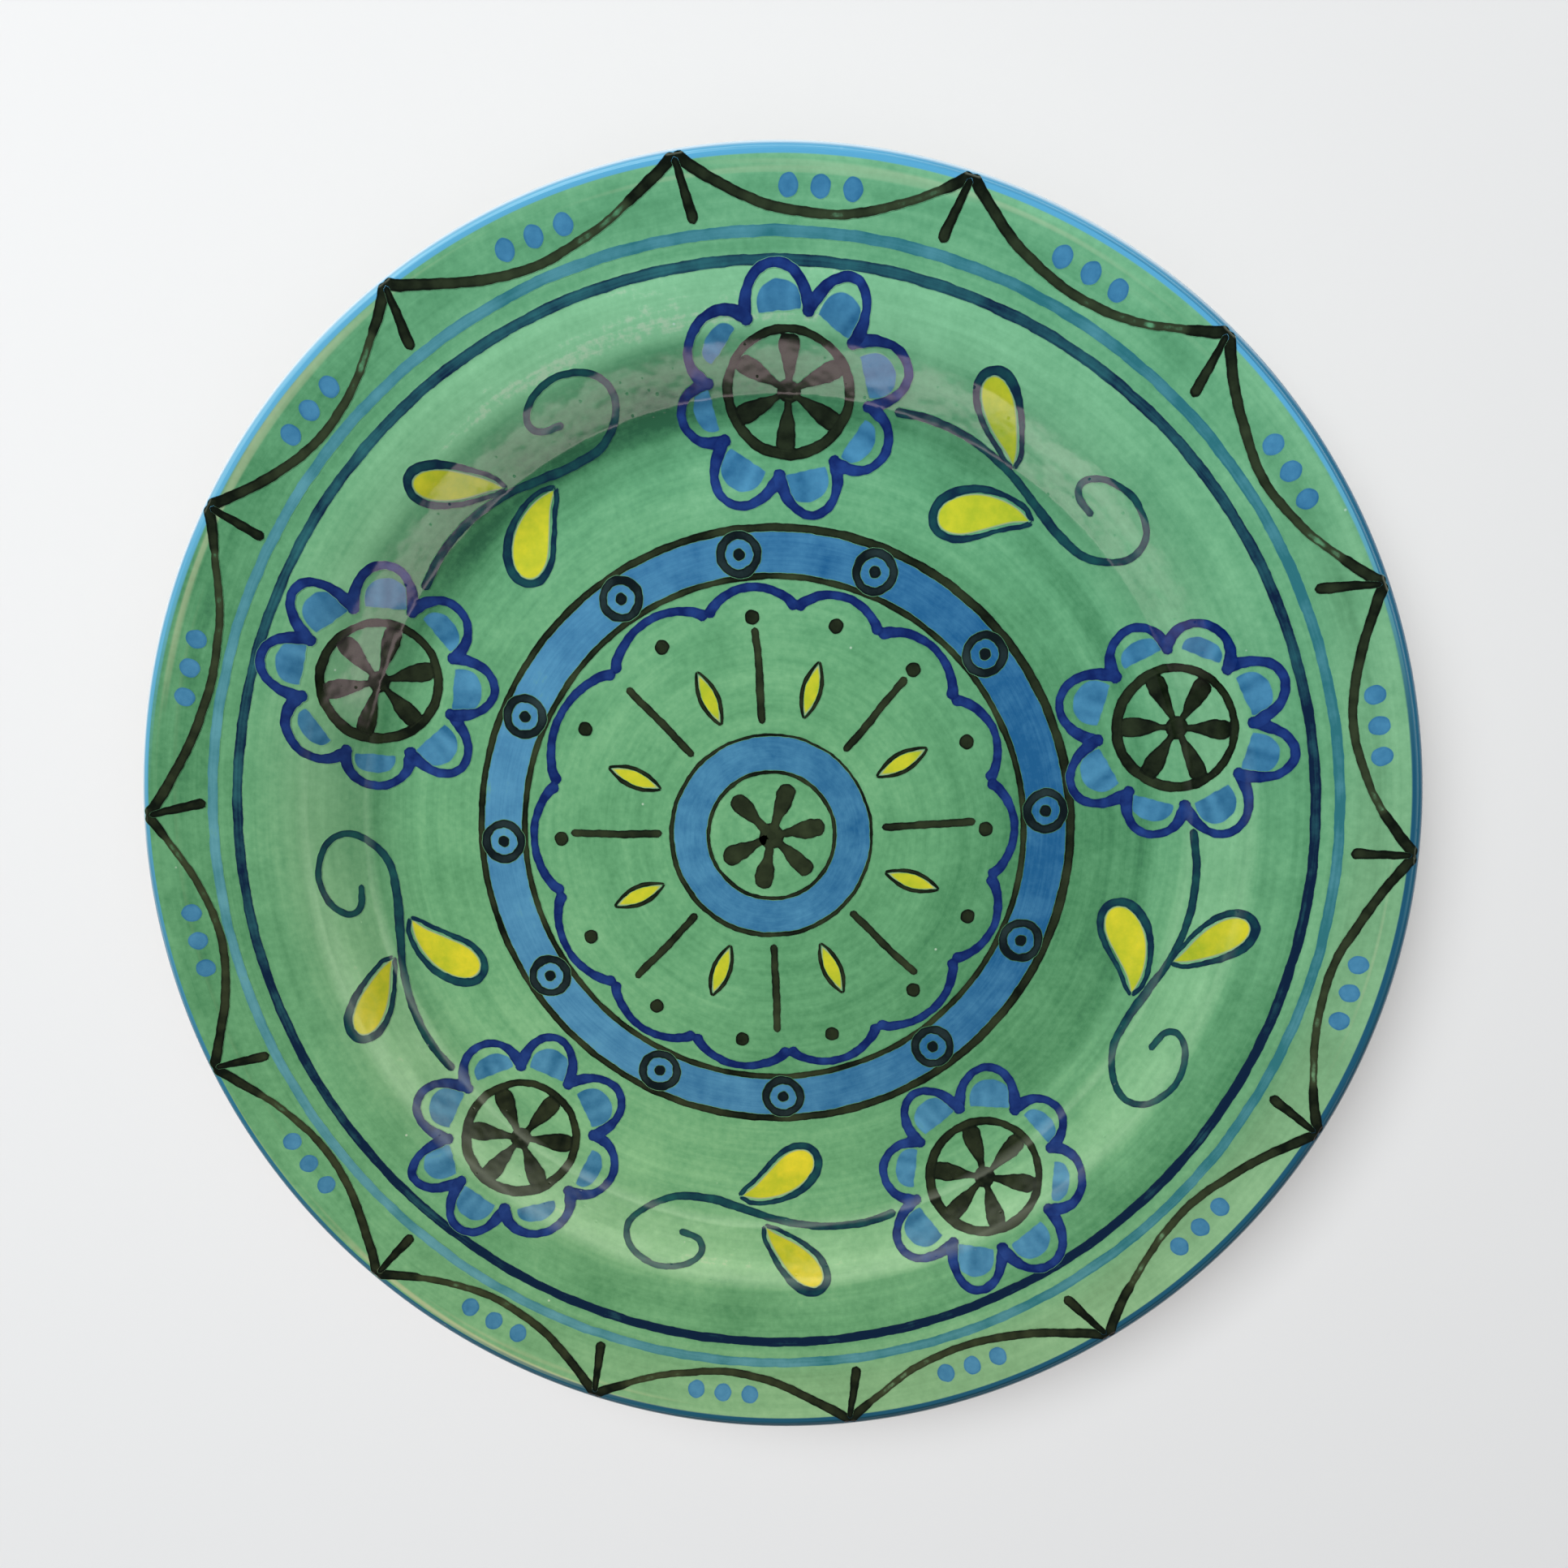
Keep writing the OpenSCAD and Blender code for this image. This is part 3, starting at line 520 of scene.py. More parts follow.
leaf_yellow = brush_colour("leaf_yellow", (0.26, 0.41, 0.018), (0.76, 0.66, 0.030), pool=-0.2, soft=0.12,
                           rim=(0.34, 0.40, 0.22), rim_w=0.4)
print("brush colours are wired over", ground.name)

# %% [markdown]
# ## Turned pieces
# The clay body, the glaze on its face, the glaze on its back and the blue lip band are all turned forms. On
# the computer the wheel is the Spin tool: a circle of points is pulled into the shape of the section, and
# spun once round the upright axis. The points of the first and the last turn lie on each other, and so do
# all those on the axis, so doubles are merged before the faces are turned to look outwards.
# %% Read the section off the walk
FOOT_W = 5.0
FOOT_INSET = 4.8
FOOT_BEVEL = 0.6
BARE_H = 1.2
LIP_BAND_IN = 3.6
LIP_BAND_OUT = 2.4
TURNS = 320

foot_ro = floor_r - FOOT_INSET
foot_ri = foot_ro - FOOT_W
marks = np.concatenate([[0, 30, 60], np.linspace(floor_s, cove_s, 16), [(cove_s + wall_s) / 2],
                        np.linspace(wall_s, shoulder_s, 15), [(shoulder_s + flange_s) / 2],
                        np.linspace(flange_s, under_s, 33)])


def coat(a, b, depth):
    """Points of the section from a to b along the walk, a depth below the face."""
    between = marks[(marks > a + 0.05) & (marks < b - 0.05)]
    radius, height = skin(np.concatenate([[a], between, [b]]), -depth)
    return np.column_stack([radius, height])


# %% Spin a section, and finish a piece
def turned(name, section):
    """A ring or a solid of revolution from a closed section of (radius, height), in millimetres."""
    bpy.ops.object.select_all(action="DESELECT")
    bpy.ops.mesh.primitive_circle_add(vertices=len(section), radius=0.1)
    piece = bpy.context.object
    piece.name = piece.data.name = name
    for point, (radius, height) in zip(piece.data.vertices, section):
        point.co = (max(radius, 0) * MM, 0, height * MM)
    bpy.ops.object.mode_set(mode="EDIT")
    bpy.ops.mesh.select_all(action="SELECT")
    bpy.ops.mesh.spin(steps=TURNS, angle=2 * pi, center=(0, 0, 0), axis=(0, 0, 1))
    bpy.ops.mesh.select_all(action="SELECT")
    bpy.ops.mesh.remove_doubles(threshold=2e-7)
    bpy.ops.mesh.dissolve_degenerate(threshold=2e-7)
    bpy.ops.mesh.delete_loose()
    bpy.ops.mesh.select_all(action="SELECT")
    bpy.ops.mesh.normals_make_consistent(inside=False)
    bpy.ops.object.mode_set(mode="OBJECT")
    bpy.ops.object.shade_smooth_by_angle(angle=radians(40))
    return piece


def finish(piece, material, slot, *nodes):
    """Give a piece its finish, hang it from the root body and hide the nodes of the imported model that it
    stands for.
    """
    piece.data.materials.clear()
    piece.data.materials.append(material)
    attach(piece, "root")
    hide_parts(*nodes)
    print(piece.name, len(piece.data.polygons), "faces")


# %% Spin the body, the glazes and the lip band
body = turned("clay_body_turned", np.concatenate([
    coat(0, under_s, GLAZE), coat(floor_s, flange_s, WALL_T - GLAZE)[::-1],
    [[foot_ro - GLAZE, FOOT_H + GLAZE], [foot_ro - GLAZE, FOOT_BEVEL], [foot_ro - GLAZE - FOOT_BEVEL, 0],
     [foot_ri + GLAZE + FOOT_BEVEL, 0], [foot_ri + GLAZE, FOOT_BEVEL], [foot_ri + GLAZE, FOOT_H + GLAZE],
     [0, FOOT_H + GLAZE]]]))
face = turned("face_glaze_turned", np.concatenate([
    coat(0, lip_s - LIP_BAND_IN, 0), coat(0, lip_s - LIP_BAND_IN, GLAZE)[::-1]]))
lip = turned("lip_band_turned", np.concatenate([
    coat(lip_s - LIP_BAND_IN, lip_s + LIP_BAND_OUT, 0),
    coat(lip_s - LIP_BAND_IN, lip_s + LIP_BAND_OUT, GLAZE)[::-1]]))
back = turned("back_glaze_turned", np.concatenate([
    coat(lip_s + LIP_BAND_OUT, under_s, 0), coat(floor_s, flange_s, WALL_T)[::-1],
    [[foot_ro, FOOT_H], [foot_ro, BARE_H], [foot_ro - GLAZE, BARE_H], [foot_ro - GLAZE, FOOT_H + GLAZE]],
    coat(floor_s, flange_s, WALL_T - GLAZE), coat(lip_s + LIP_BAND_OUT, under_s, GLAZE)[::-1]]))
recess = turned("recess_glaze_turned", np.array([
    [0, FOOT_H + GLAZE], [foot_ri + GLAZE, FOOT_H + GLAZE], [foot_ri + GLAZE, BARE_H],
    [foot_ri, BARE_H], [foot_ri, FOOT_H], [0, FOOT_H]]))
print("spun:", [piece.name for piece in (body, face, lip, back, recess)])

# %% [markdown]
# ## Clay, back glaze and lip
# The foot was wiped bare before firing, so the plate would not stick to the kiln shelf, and it shows sandy
# biscuit clay. The back was dipped in the plain clear glaze, over cream clay, with a few iron specks. The
# lip was banded in blue as the last touch. Its blue is pale and bright towards the upper left and thin and
# dark towards the lower right, partly from thick and thin glaze and partly as painted light and shade, and
# the white along its outer edge on the bright side is a painted highlight.
# %% Wire the bare clay
bare_clay = bpy.data.materials.new("bare_clay")
bare_clay.use_nodes = True
tree = bare_clay.node_tree
spot = add(tree, "Group", node_tree=wheel).outputs
sand = noise(tree, spot["Place"], 1500.0, 4.0, 0.7)
streaks = noise(tree, spot["Streak"], 3.0, 3.0, 0.6)
tone = maths(tree, "ADD", maths(tree, "MULTIPLY", sand, 0.6), maths(tree, "MULTIPLY", streaks, 0.4))
shader = tree.nodes["Principled BSDF"]
tree.links.new(ramp(tree, tone, [(0.3, (0.47, 0.34, 0.20)), (0.7, (0.66, 0.52, 0.34))]),
               shader.inputs["Base Color"])
shader.inputs["Roughness"].default_value = 0.85
grit = add(tree, "Bump", {"Strength": 0.4, "Distance": 0.0003, "Height": sand}).outputs["Normal"]
tree.links.new(grit, shader.inputs["Normal"])
print("material", bare_clay.name)

# %% Wire the cream glaze of the back
cream_glaze, tree, shader = glazed("cream_glaze")
spot = add(tree, "Group", node_tree=wheel).outputs
streaks = noise(tree, spot["Streak"], 1.5, 4.0, 0.6)
clouds = noise(tree, spot["Place"], 60.0, 3.0, 0.5)
tone = maths(tree, "ADD", maths(tree, "MULTIPLY", streaks, 0.7), maths(tree, "MULTIPLY", clouds, 0.3))
cream = ramp(tree, tone, [(0.3, (0.66, 0.56, 0.38)), (0.7, (0.76, 0.69, 0.52))])
specks = add(tree, "TexVoronoi", {"Vector": spot["Place"], "Scale": 190.0}).outputs["Distance"]
specks = step_up(tree, specks, 0.03, 0.09)
under_glaze(tree, shader, blend(tree, specks, (0.20, 0.11, 0.05), cream))
print("material", cream_glaze.name)

# %% Wire the blue of the lip
lip_blue, tree, shader = glazed("lip_blue")
spot = add(tree, "Group", node_tree=wheel).outputs
# Painted light and shade, with real thickness: the blue is lighter towards the upper left and darker
# towards the lower right.
side = facing(tree, spot["Direction"], -0.35, 0.62)
tone = maths(tree, "ADD", maths(tree, "MULTIPLY", side, 0.65), 0.42)
tone = maths(tree, "ADD", tone, across_zero(tree, noise(tree, spot["Streak"], 1.6, 4.0, 0.6), 0.7))
blue = ramp(tree, tone, [(0.0, (0.006, 0.055, 0.085)), (0.45, (0.022, 0.16, 0.26)),
                         (0.8, (0.10, 0.38, 0.56)), (1.0, (0.28, 0.60, 0.74))])
# A painted highlight: near-white along the outer edge where the blue is light.
lip_painted_highlight = step_up(tree, spot["Radius"], 138.4, 139.5)
lip_painted_highlight = maths(tree, "MULTIPLY", lip_painted_highlight, step_up(tree, tone, 0.45, 0.75))
under_glaze(tree, shader, blend(tree, lip_painted_highlight, blue, (0.78, 0.86, 0.86)))
print("material", lip_blue.name)

# %% Finish the turned pieces
bpy.ops.object.select_all(action="DESELECT")
recess.select_set(True)
back.select_set(True)
bpy.context.view_layer.objects.active = back
bpy.ops.object.join()
finish(body, bare_clay, "bare_clay", "clay_body")
finish(face, green_glaze, "green_glaze", "face_glaze")
finish(back, cream_glaze, "cream_glaze", "back_glaze")
finish(lip, lip_blue, "lip_blue", "lip_band")

# %% [markdown]
# ## A stroke of paint
# Every mark of the brush is made in one way. A flat grid is stretched between the two edges of the stroke,
# laid on the face, and given a little thickness that sinks into the glaze. The edges are drawn first, as
# points in millimetres on the decorator's flat disc, and they wander a little, as a hand does. When several
# strokes make one piece, a point that lies inside two strokes keeps the larger distance to an edge, so the
# soft edge of one stroke never cuts across another. Paint that was put on later lies in a higher layer.
# %% Places and lines on the flat disc
def polar(angle, s):
    """The flat point at an angle in degrees and a distance s from the middle."""
    angle = np.radians(angle)
    return np.stack([np.cos(angle) * s, np.sin(angle) * s], -1)


def wobble(t, size, length, seed, loop=False):
    """A smooth drift of about size, with waves about length long, at the distances t along a stroke.

    It adds five waves of unlike lengths, so it doesn't seem to repeat, and on a loop each wave closes.
    """
    dice = np.random.default_rng(seed)
    total = np.zeros(len(t))
    for share in (0.55, 0.8, 1.1, 1.6, 2.3):
        wave = 2 * pi / (length * share)
        if loop:
            wave = max(1, round(wave * t[-1] / (2 * pi))) * 2 * pi / t[-1]
        total += np.sin(wave * t + dice.uniform(0, 2 * pi))
    return total * size * 0.63


def along(path):
    """Distance along a path at each of its points."""
    return np.concatenate([[0], np.cumsum(np.hypot(*np.diff(path, axis=0).T))])


def smooth(points, pace=0.45):
    """A smooth curve through hand-set points, cut every pace millimetres."""
    p = np.array(points, float)
    q = np.concatenate([2 * p[:1] - p[1:2], p, 2 * p[-1:] - p[-2:-1]])
    t = np.linspace(0, 1, 24, endpoint=False)[:, None]
    bends = [0.5 * (2 * b + (c - a) * t + (2 * a - 5 * b + 4 * c - d) * t**2
                    + (3 * b - a - 3 * c + d) * t**3)
             for a, b, c, d in zip(q, q[1:], q[2:], q[3:])]
    line = np.concatenate(bends + [p[-1:]])
    gone = along(line)
    even = np.linspace(0, gone[-1], max(4, int(gone[-1] / pace)))
    return np.column_stack([np.interp(even, gone, line[:, 0]), np.interp(even, gone, line[:, 1])])


def normal_of(path):
    """Unit vectors to the left of a path."""
    step_on = np.gradient(path, axis=0)
    step_on = step_on / np.maximum(np.hypot(*step_on.T), 1e-9)[:, None]
    return np.column_stack([-step_on[:, 1], step_on[:, 0]])


def inside(points, outlines):
    """How far each point lies from closed outlines, and whether it lies inside them."""
    near = np.full(len(points), 1e9)
    odd = np.zeros(len(points), bool)
    x, y = points[:, :1], points[:, 1:]
    for line in outlines:
        a, b = line, np.roll(line, -1, 0)
        d = b - a
        share = ((x - a[:, 0]) * d[:, 0] + (y - a[:, 1]) * d[:, 1]) / np.maximum((d**2).sum(1), 1e-12)
        share = np.clip(share, 0, 1)
        gap = np.hypot(x - a[:, 0] - share * d[:, 0], y - a[:, 1] - share * d[:, 1])
        near = np.minimum(near, gap.min(1))
        crosses = (a[:, 1] > y) != (b[:, 1] > y)
        rise_y = np.where(np.abs(d[:, 1]) < 1e-12, 1e-12, d[:, 1])
        odd ^= (crosses & (x < a[:, 0] + (y - a[:, 1]) * d[:, 0] / rise_y)).sum(1) % 2 == 1
    return near, odd


# %% One mark of the brush
def stroke(a, b, load=1.0, loop=False, cells=4, dot=False):
    """One mark of the brush between its edges a and b, as a grid with a few cells across.

    load is one number, or one for each point of a. loop says that both edges are closed, and dot that a is
    only the middle of a round mark.
    """
    grid = a[:, None] + (b - a)[:, None] * (np.arange(cells + 1) / cells)[:, None]
    outlines = [b[:-1]] if dot else [a[:-1], b[:-1]] if loop else [np.concatenate([a, b[::-1]])]
    onward = np.diff(a, axis=0) + np.diff(b, axis=0)
    across = (b - a)[1:] + (b - a)[:-1]
    if (onward[:, 0] * across[:, 1] - onward[:, 1] * across[:, 0]).sum() < 0:
        grid = grid[:, ::-1]
    return {"grid": grid, "load": np.zeros(len(a)) + load, "loop": loop, "outlines": outlines}


def brush(path, width, seed, load=1.0, dry=0.0, ragged=0.035, drift=0.0, ends=(1, 1), swell=None):
    """A stroke of a brush along a path.

    dry is how much of the load it loses on the way, ragged how uneven its edges are and drift how far it
    wanders, in millimetres. ends says how round each end is, with 0 for blunt, and swell lists the share of
    the width at shares of the length.
    """
    t = along(path)
    whole = t[-1]
    if drift:
        path = path + normal_of(path) * wobble(t, drift, 30.0, seed)[:, None]
    half = np.broadcast_to(np.asarray(width, float) / 2, len(t)) * np.ones(len(t))
    if swell is not None:
        half = half * np.interp(t / whole, *zip(*swell))
    for gone, blunt in ((t, ends[0]), (whole - t, ends[1])):
        if blunt:
            reach = np.clip(gone / (half * blunt + 1e-9), 0, 1)
            half = half * np.sqrt(np.clip(1 - (1 - reach)**2, 0.02, 1))
    side = normal_of(path)
    rough = np.minimum(1, half / 0.5)
    uneven = [wobble(t, ragged, 3.5, seed + k) + wobble(t, ragged, 11.0, seed + k + 1) for k in (1, 3)]
    a = path + side * (half + uneven[0] * rough)[:, None]
    b = path - side * (half + uneven[1] * rough)[:, None]
    full = load - dry * (t / whole)**1.6 + wobble(t, 0.08, 6.0, seed + 5)
    return stroke(a, b, full)


def ring(inner, outer, seed, load=1.0, ragged=0.035, cells=4, centre=(0, 0), sides=720, patchy=0.12):
    """A closed band round a centre, between two radii given as numbers or as one number a side."""
    angle = np.linspace(0, 360, sides + 1)
    t = np.radians(angle) * np.mean(outer)
    edges = []
    for k, radius in enumerate((inner, outer)):
        radius = radius + wobble(t, ragged, 4.0, seed + k, True)
        radius = radius + wobble(t, 1.4 * ragged, 16.0, seed + 7 + k, True)
        line = np.asarray(centre) + polar(angle, radius)
        line[-1] = line[0]
        edges.append(line)
    full = load + wobble(t, patchy, 18.0, seed + 3, True)
    full[-1] = full[0]
    return stroke(edges[0], edges[1], full, loop=True, cells=cells)


def dab(centre, width, seed, load=1.0, ragged=0.04, long=1.0, angle=0.0):
    """A round touch of the brush, or a longer one along an angle."""
    turn = np.linspace(0, 2 * pi, 33)
    radius = width / 2 + wobble(turn * width / 2, ragged, width, seed, True)
    radius[-1] = radius[0]
    x, y = np.cos(turn) * radius * long, np.sin(turn) * radius
    c, s = cos(radians(angle)), sin(radians(angle))
    rim = np.asarray(centre) + np.column_stack([x * c - y * s, x * s + y * c])
    rim[-1] = rim[0]
    middle = np.repeat([np.asarray(centre, float)], len(rim), 0)
    return stroke(middle, rim, load, loop=True, cells=3, dot=True)


# %% Lay strokes on the face
LAYER_1 = 0.05
LAYER_2 = 0.09
LAYER_3 = 0.12
SINK = 0.03
STAGGER = 0.003


def paint(name, strokes, lift, material, slot, *nodes, blended=True):
    """Lay strokes on the face as one piece of paint, lift millimetres above the glaze.

    Neighbouring strokes lie a stagger apart, so no two faces share a plane. blended clears the soft edge of
    a stroke away where it lies inside another.
    """
    flats = [s["grid"].reshape(-1, 2) for s in strokes]
    made = []
    for k, (mark, flat) in enumerate(zip(strokes, flats)):
        count, across = mark["grid"].shape[:2]
        edge, _ = inside(flat, mark["outlines"])
        if blended:
            for other in range(len(strokes)):
                low = np.concatenate(strokes[other]["outlines"]).min(0)
                high = np.concatenate(strokes[other]["outlines"]).max(0)
                if other != k and (flat.min(0) < high).all() and (flat.max(0) > low).all():
                    gap, within = inside(flat, strokes[other]["outlines"])
                    edge = np.where(within, np.maximum(edge, gap), edge)
        bpy.ops.object.select_all(action="DESELECT")
        bpy.ops.mesh.primitive_grid_add(x_subdivisions=count - 1, y_subdivisions=across - 1, size=2)
        sheet = bpy.context.object
        where = np.empty(len(sheet.data.vertices) * 3)
        sheet.data.vertices.foreach_get("co", where)
        where = where.reshape(-1, 3)
        i = np.rint((where[:, 0] + 1) / 2 * (count - 1)).astype(int)
        j = np.rint((where[:, 1] + 1) / 2 * (across - 1)).astype(int)
        laid = lay(mark["grid"][i, j], lift + STAGGER * (k % 4))
        sheet.data.vertices.foreach_set("co", laid.ravel())
        for label, values in (("edge", edge.reshape(count, across)[i, j]), ("load", mark["load"][i])):
            carried = sheet.data.attributes.new(label, "FLOAT", "POINT")
            carried.data.foreach_set("value", values.astype(np.float32))
        if mark["loop"]:
            bpy.ops.object.mode_set(mode="EDIT")
            bpy.ops.mesh.select_all(action="SELECT")
            bpy.ops.mesh.remove_doubles(threshold=1e-7)
            bpy.ops.object.mode_set(mode="OBJECT")
        made.append(sheet)
    for sheet in made:
        sheet.select_set(True)
    bpy.context.view_layer.objects.active = made[0]
    if len(made) > 1:
        bpy.ops.object.join()
    piece = bpy.context.object
    piece.name = piece.data.name = name
    wall = piece.modifiers.new("thickness", "SOLIDIFY")
    wall.thickness = (lift + SINK) * MM
    wall.offset = -1
    bpy.ops.object.modifier_apply(modifier=wall.name)
    bpy.ops.object.shade_smooth_by_angle(angle=radians(40))
    finish(piece, material, slot, *nodes)


# %% [markdown]
# ## The border
# Fourteen swags hang from the lip, each drawn in one pull that starts full at a meeting point and runs dry
# on its way. The next pull is begun on top of its end, so a swag turns black again just before it stops. A
# short tick marks each meeting point, and three blue dabs fill each swag. The angles are not even, because
# the painter judged them by eye, so they are given as small nudges from even places. All of the distances
# are counted in from the lip.
# %% Paint the border
SWAGS = 14
SWAG_S = lip_s - 3.2
SWAG_DROP = 12.0
DOT_S = lip_s - 9.9
DOT_W = 4.4
DOT_GAP = 6.8
swag_nudge = [0, -2, -3, -4, -5, -4, -5, -2, -3, -3, -4, -4, -3, -1]
swag_angle = [2 + 360 * i / SWAGS + swag_nudge[i % SWAGS] for i in range(SWAGS + 1)]
tick_lean = [0, 4, -3, 2, -2, 3, 0, -3, 2, 0, -2, 3, -3, 2]
swags, ticks, dots = [], [], []
for i in range(SWAGS):
    low, high = swag_angle[i], swag_angle[i + 1]
    t = np.linspace(0, 1, 40)
    line = smooth(polar(high + (low - high) * t, SWAG_S + 0.4 - SWAG_DROP * np.sin(pi * t)**0.8))
    t = np.linspace(0, 1, len(line))
    again = 0.80 + 0.03 * (i % 4)
    load = np.interp(t, (0, 0.3, again, again + 0.02, 1), (0.90, 0.35, -0.05, 0.70, 0.90))
    swell = [(0, 1.2), (0.12, 1.05), (0.5, 0.9), (again, 0.78), (again + 0.02, 1.0), (1, 1.2)]
    swags.append(brush(line, 2.2, 100 + 10 * i, load=load, ragged=0.03, drift=0.10, swell=swell))
    tick = np.array([polar(low, SWAG_S - 0.5), polar(low + tick_lean[i] / 4, SWAG_S - 6.5),
                     polar(low + tick_lean[i] / 2, SWAG_S - 12.5)])
    ticks.append(brush(smooth(tick), 2.25, 300 + 10 * i, load=0.9, dry=0.3, ragged=0.04,
                       swell=[(0, 0.6), (0.4, 0.85), (0.85, 1.1), (1, 1.1)]))
    for k in (-1, 0, 1):
        middle = (low + high) / 2 + degrees(DOT_GAP / DOT_S) * k
        dots.append(dab(polar(middle, DOT_S), DOT_W, 500 + 3 * i + k, load=0.45, long=1.02, angle=middle))
paint("rim_swags_painted", swags, LAYER_2, brown_black, "brown_black", "rim_swags")
paint("rim_ticks_painted", ticks, LAYER_3, tick_black, "brown_black", "rim_ticks")
paint("rim_dots_painted", dots, LAYER_1, dot_blue, "mid_blue", "rim_dots")

# %% [markdown]
# ## The turned rings
# These were painted on the spinning wheel, so they are true circles, and what varies is only the load and
# the pressure. Each brush was dipped once, so its ring starts full on one side of the plate and is thin on
# the other. Closed bands between two radii make them, and the load is a slow wave round the plate.
# %% Paint the rings round the flange
PALE_S = lip_s - 18.1
DARK_S = lip_s - 22.6
HALF_RING = 1.15
round_angle = np.radians(np.linspace(0, 360, 721))
pale_load = 0.54 + 0.28 * np.cos(round_angle - 0.25)
dark_load = 0.80 - 0.38 * np.cos(round_angle - 1.9)
pale_r = PALE_S + 0.4 - 0.6 * np.cos(round_angle - 0.2)
dark_r = DARK_S - 0.1 - 0.4 * np.cos(round_angle - 0.5)
paint("pale_blue_ring_painted", [ring(pale_r - HALF_RING, pale_r + HALF_RING, 11, load=pale_load)],
      LAYER_1, pale_blue, "pale_blue", "pale_blue_ring")
paint("dark_blue_ring_painted",
      [ring(dark_r - HALF_RING, dark_r + HALF_RING, 12, load=dark_load, patchy=0.1)],
      LAYER_1, dark_blue, "dark_blue", "dark_blue_ring")

# %% [markdown]
# ## The flowers
# Each flower has eight petals round a dark wheel. A petal is a dab of blue with a cobalt line pulled round
# it like a horseshoe, and the ends of two horseshoes meet in a thick point between the petals. The notches
# between the petals were never even, so each flower has its own list of them. The heart is a ring with six
# fat brush petals that run from a dab in its middle.
# %% Set out the flowers
FLOWERS = 5
PETALS = 8
HEART_PETALS = 6
PETAL_CENTRE = 18.2
NOTCH_R = 16.6
FILL_R = 17.1
flower_angle = [90.0, 161.0, 232.8, 304.9, 17.9]
flower_s = [99.2, 99.2, 98.6, 99.0, 96.7]
notches = [[-9, 38, 76, 121, 176, 218, 265, 306], [-8, 36, 76, 119, 172, 221, 265, 307],
           [-5, 39, 75, 117, 171, 221, 268, 309], [-11, 36, 76, 125, 174, 216, 260, 302],
           [-6, 43, 82, 126, 174, 217, 265, 311]]
petal_reach = [28.5, 28.6, 27.4, 25.7, 25.9, 28.6, 28.3, 26.4]
heart_turn = [28, 0, 30, 20, 14]
PETAL_LINE = 2.35
HEART_R = 14.8
petal_swell = [(0, 1.05), (0.12, 1.3), (0.3, 0.95), (0.5, 0.92), (0.7, 0.95), (0.88, 1.3), (1, 1.05)]
heart_swell = [(0, 0.3), (0.2, 0.42), (0.45, 0.75), (0.7, 1.0), (0.88, 0.98), (1, 0.8)]


def petal_line(n0, n1, reach):
    """The horseshoe round a petal between two notches, in flat millimetres about the flower's centre."""
    axis, half = (n0 + n1) / 2, radians((n1 - n0) / 2)
    base, width = PETAL_CENTRE * cos(half), PETAL_CENTRE * sin(half)
    turn = np.linspace(-pi / 2, pi / 2, 13)
    out = base + (reach - PETAL_LINE / 2 - base) * np.cos(turn)**0.85
    sideways = width * np.sin(turn)
    c, s = cos(radians(axis)), sin(radians(axis))
    arc = np.column_stack([out * c - sideways * s, out * s + sideways * c])
    return np.concatenate([[polar(n0, NOTCH_R)], arc, [polar(n1, NOTCH_R)]])


# %% Paint the flowers
for i in range(FLOWERS):
    name = "flower_%d" % (i + 1)
    centre = polar(flower_angle[i], flower_s[i])
    base = flower_angle[i] - 90
    lines, fills = [], []
    for k in range(PETALS):
        n0 = base + notches[i][k]
        n1 = base + notches[i][(k + 1) % PETALS] + (360 if k == PETALS - 1 else 0)
        shape = smooth(centre + petal_line(n0, n1, petal_reach[k]))
        lines.append(brush(shape, PETAL_LINE, 1000 + 100 * i + 10 * k, load=0.7, ragged=0.045,
                           ends=(0.8, 0.8), swell=petal_swell))
        axis = (n0 + n1) / 2 - 2.0
        spread = min((n1 - n0) / 2 - 5.0, 15.5)
        u = np.linspace(-1, 1, 25)
        near_r = FILL_R + 0.7 * u**2 + wobble(u * 5 + 6, 0.06, 4.0, 40 * i + k)
        bulge = np.sqrt(1 - (u * 0.985)**2)
        far_r = near_r + 0.2 + (petal_reach[k] - PETAL_LINE - 1.9 - FILL_R) * bulge
        load = 0.45 + wobble(u * 5 + 6, 0.15, 6.0, 70 + 8 * i + k)
        near, far = (centre + polar(axis + spread * u, radius) for radius in (near_r, far_r))
        fills.append(stroke(near, far, load, cells=8))
    paint(name + "_outline_painted", lines, LAYER_3, cobalt, "cobalt", name + "_outline")
    paint(name + "_petals_painted", fills, LAYER_1, petal_blue, "mid_blue", name + "_petals")
    lean = 0.35 * np.cos(np.radians(np.linspace(0, 360, 121) - 280 + 20 * i))
    heart = [ring(HEART_R - 2.35 - lean, HEART_R, 2000 + i, load=0.6, centre=centre, sides=120,
                  ragged=0.05),
             dab(centre, 5.4, 2100 + i, load=0.8, ragged=0.08)]
    for k in range(HEART_PETALS):
        angle = base + heart_turn[i] + 60 * k + wobble(np.array([0.0]), 1.5, 5.0, 60 * i + k)[0]
        spoke = smooth(centre + polar(angle, np.array([1.5, 5.0, 9.0, 12.9])))
        heart.append(brush(spoke, 4.7, 2200 + 50 * i + 8 * k, load=0.65, ragged=0.05, ends=(0, 0),
                           swell=heart_swell))
    paint(name + "_heart_painted", heart, LAYER_2, brown_black, "brown_black", name + "_heart")

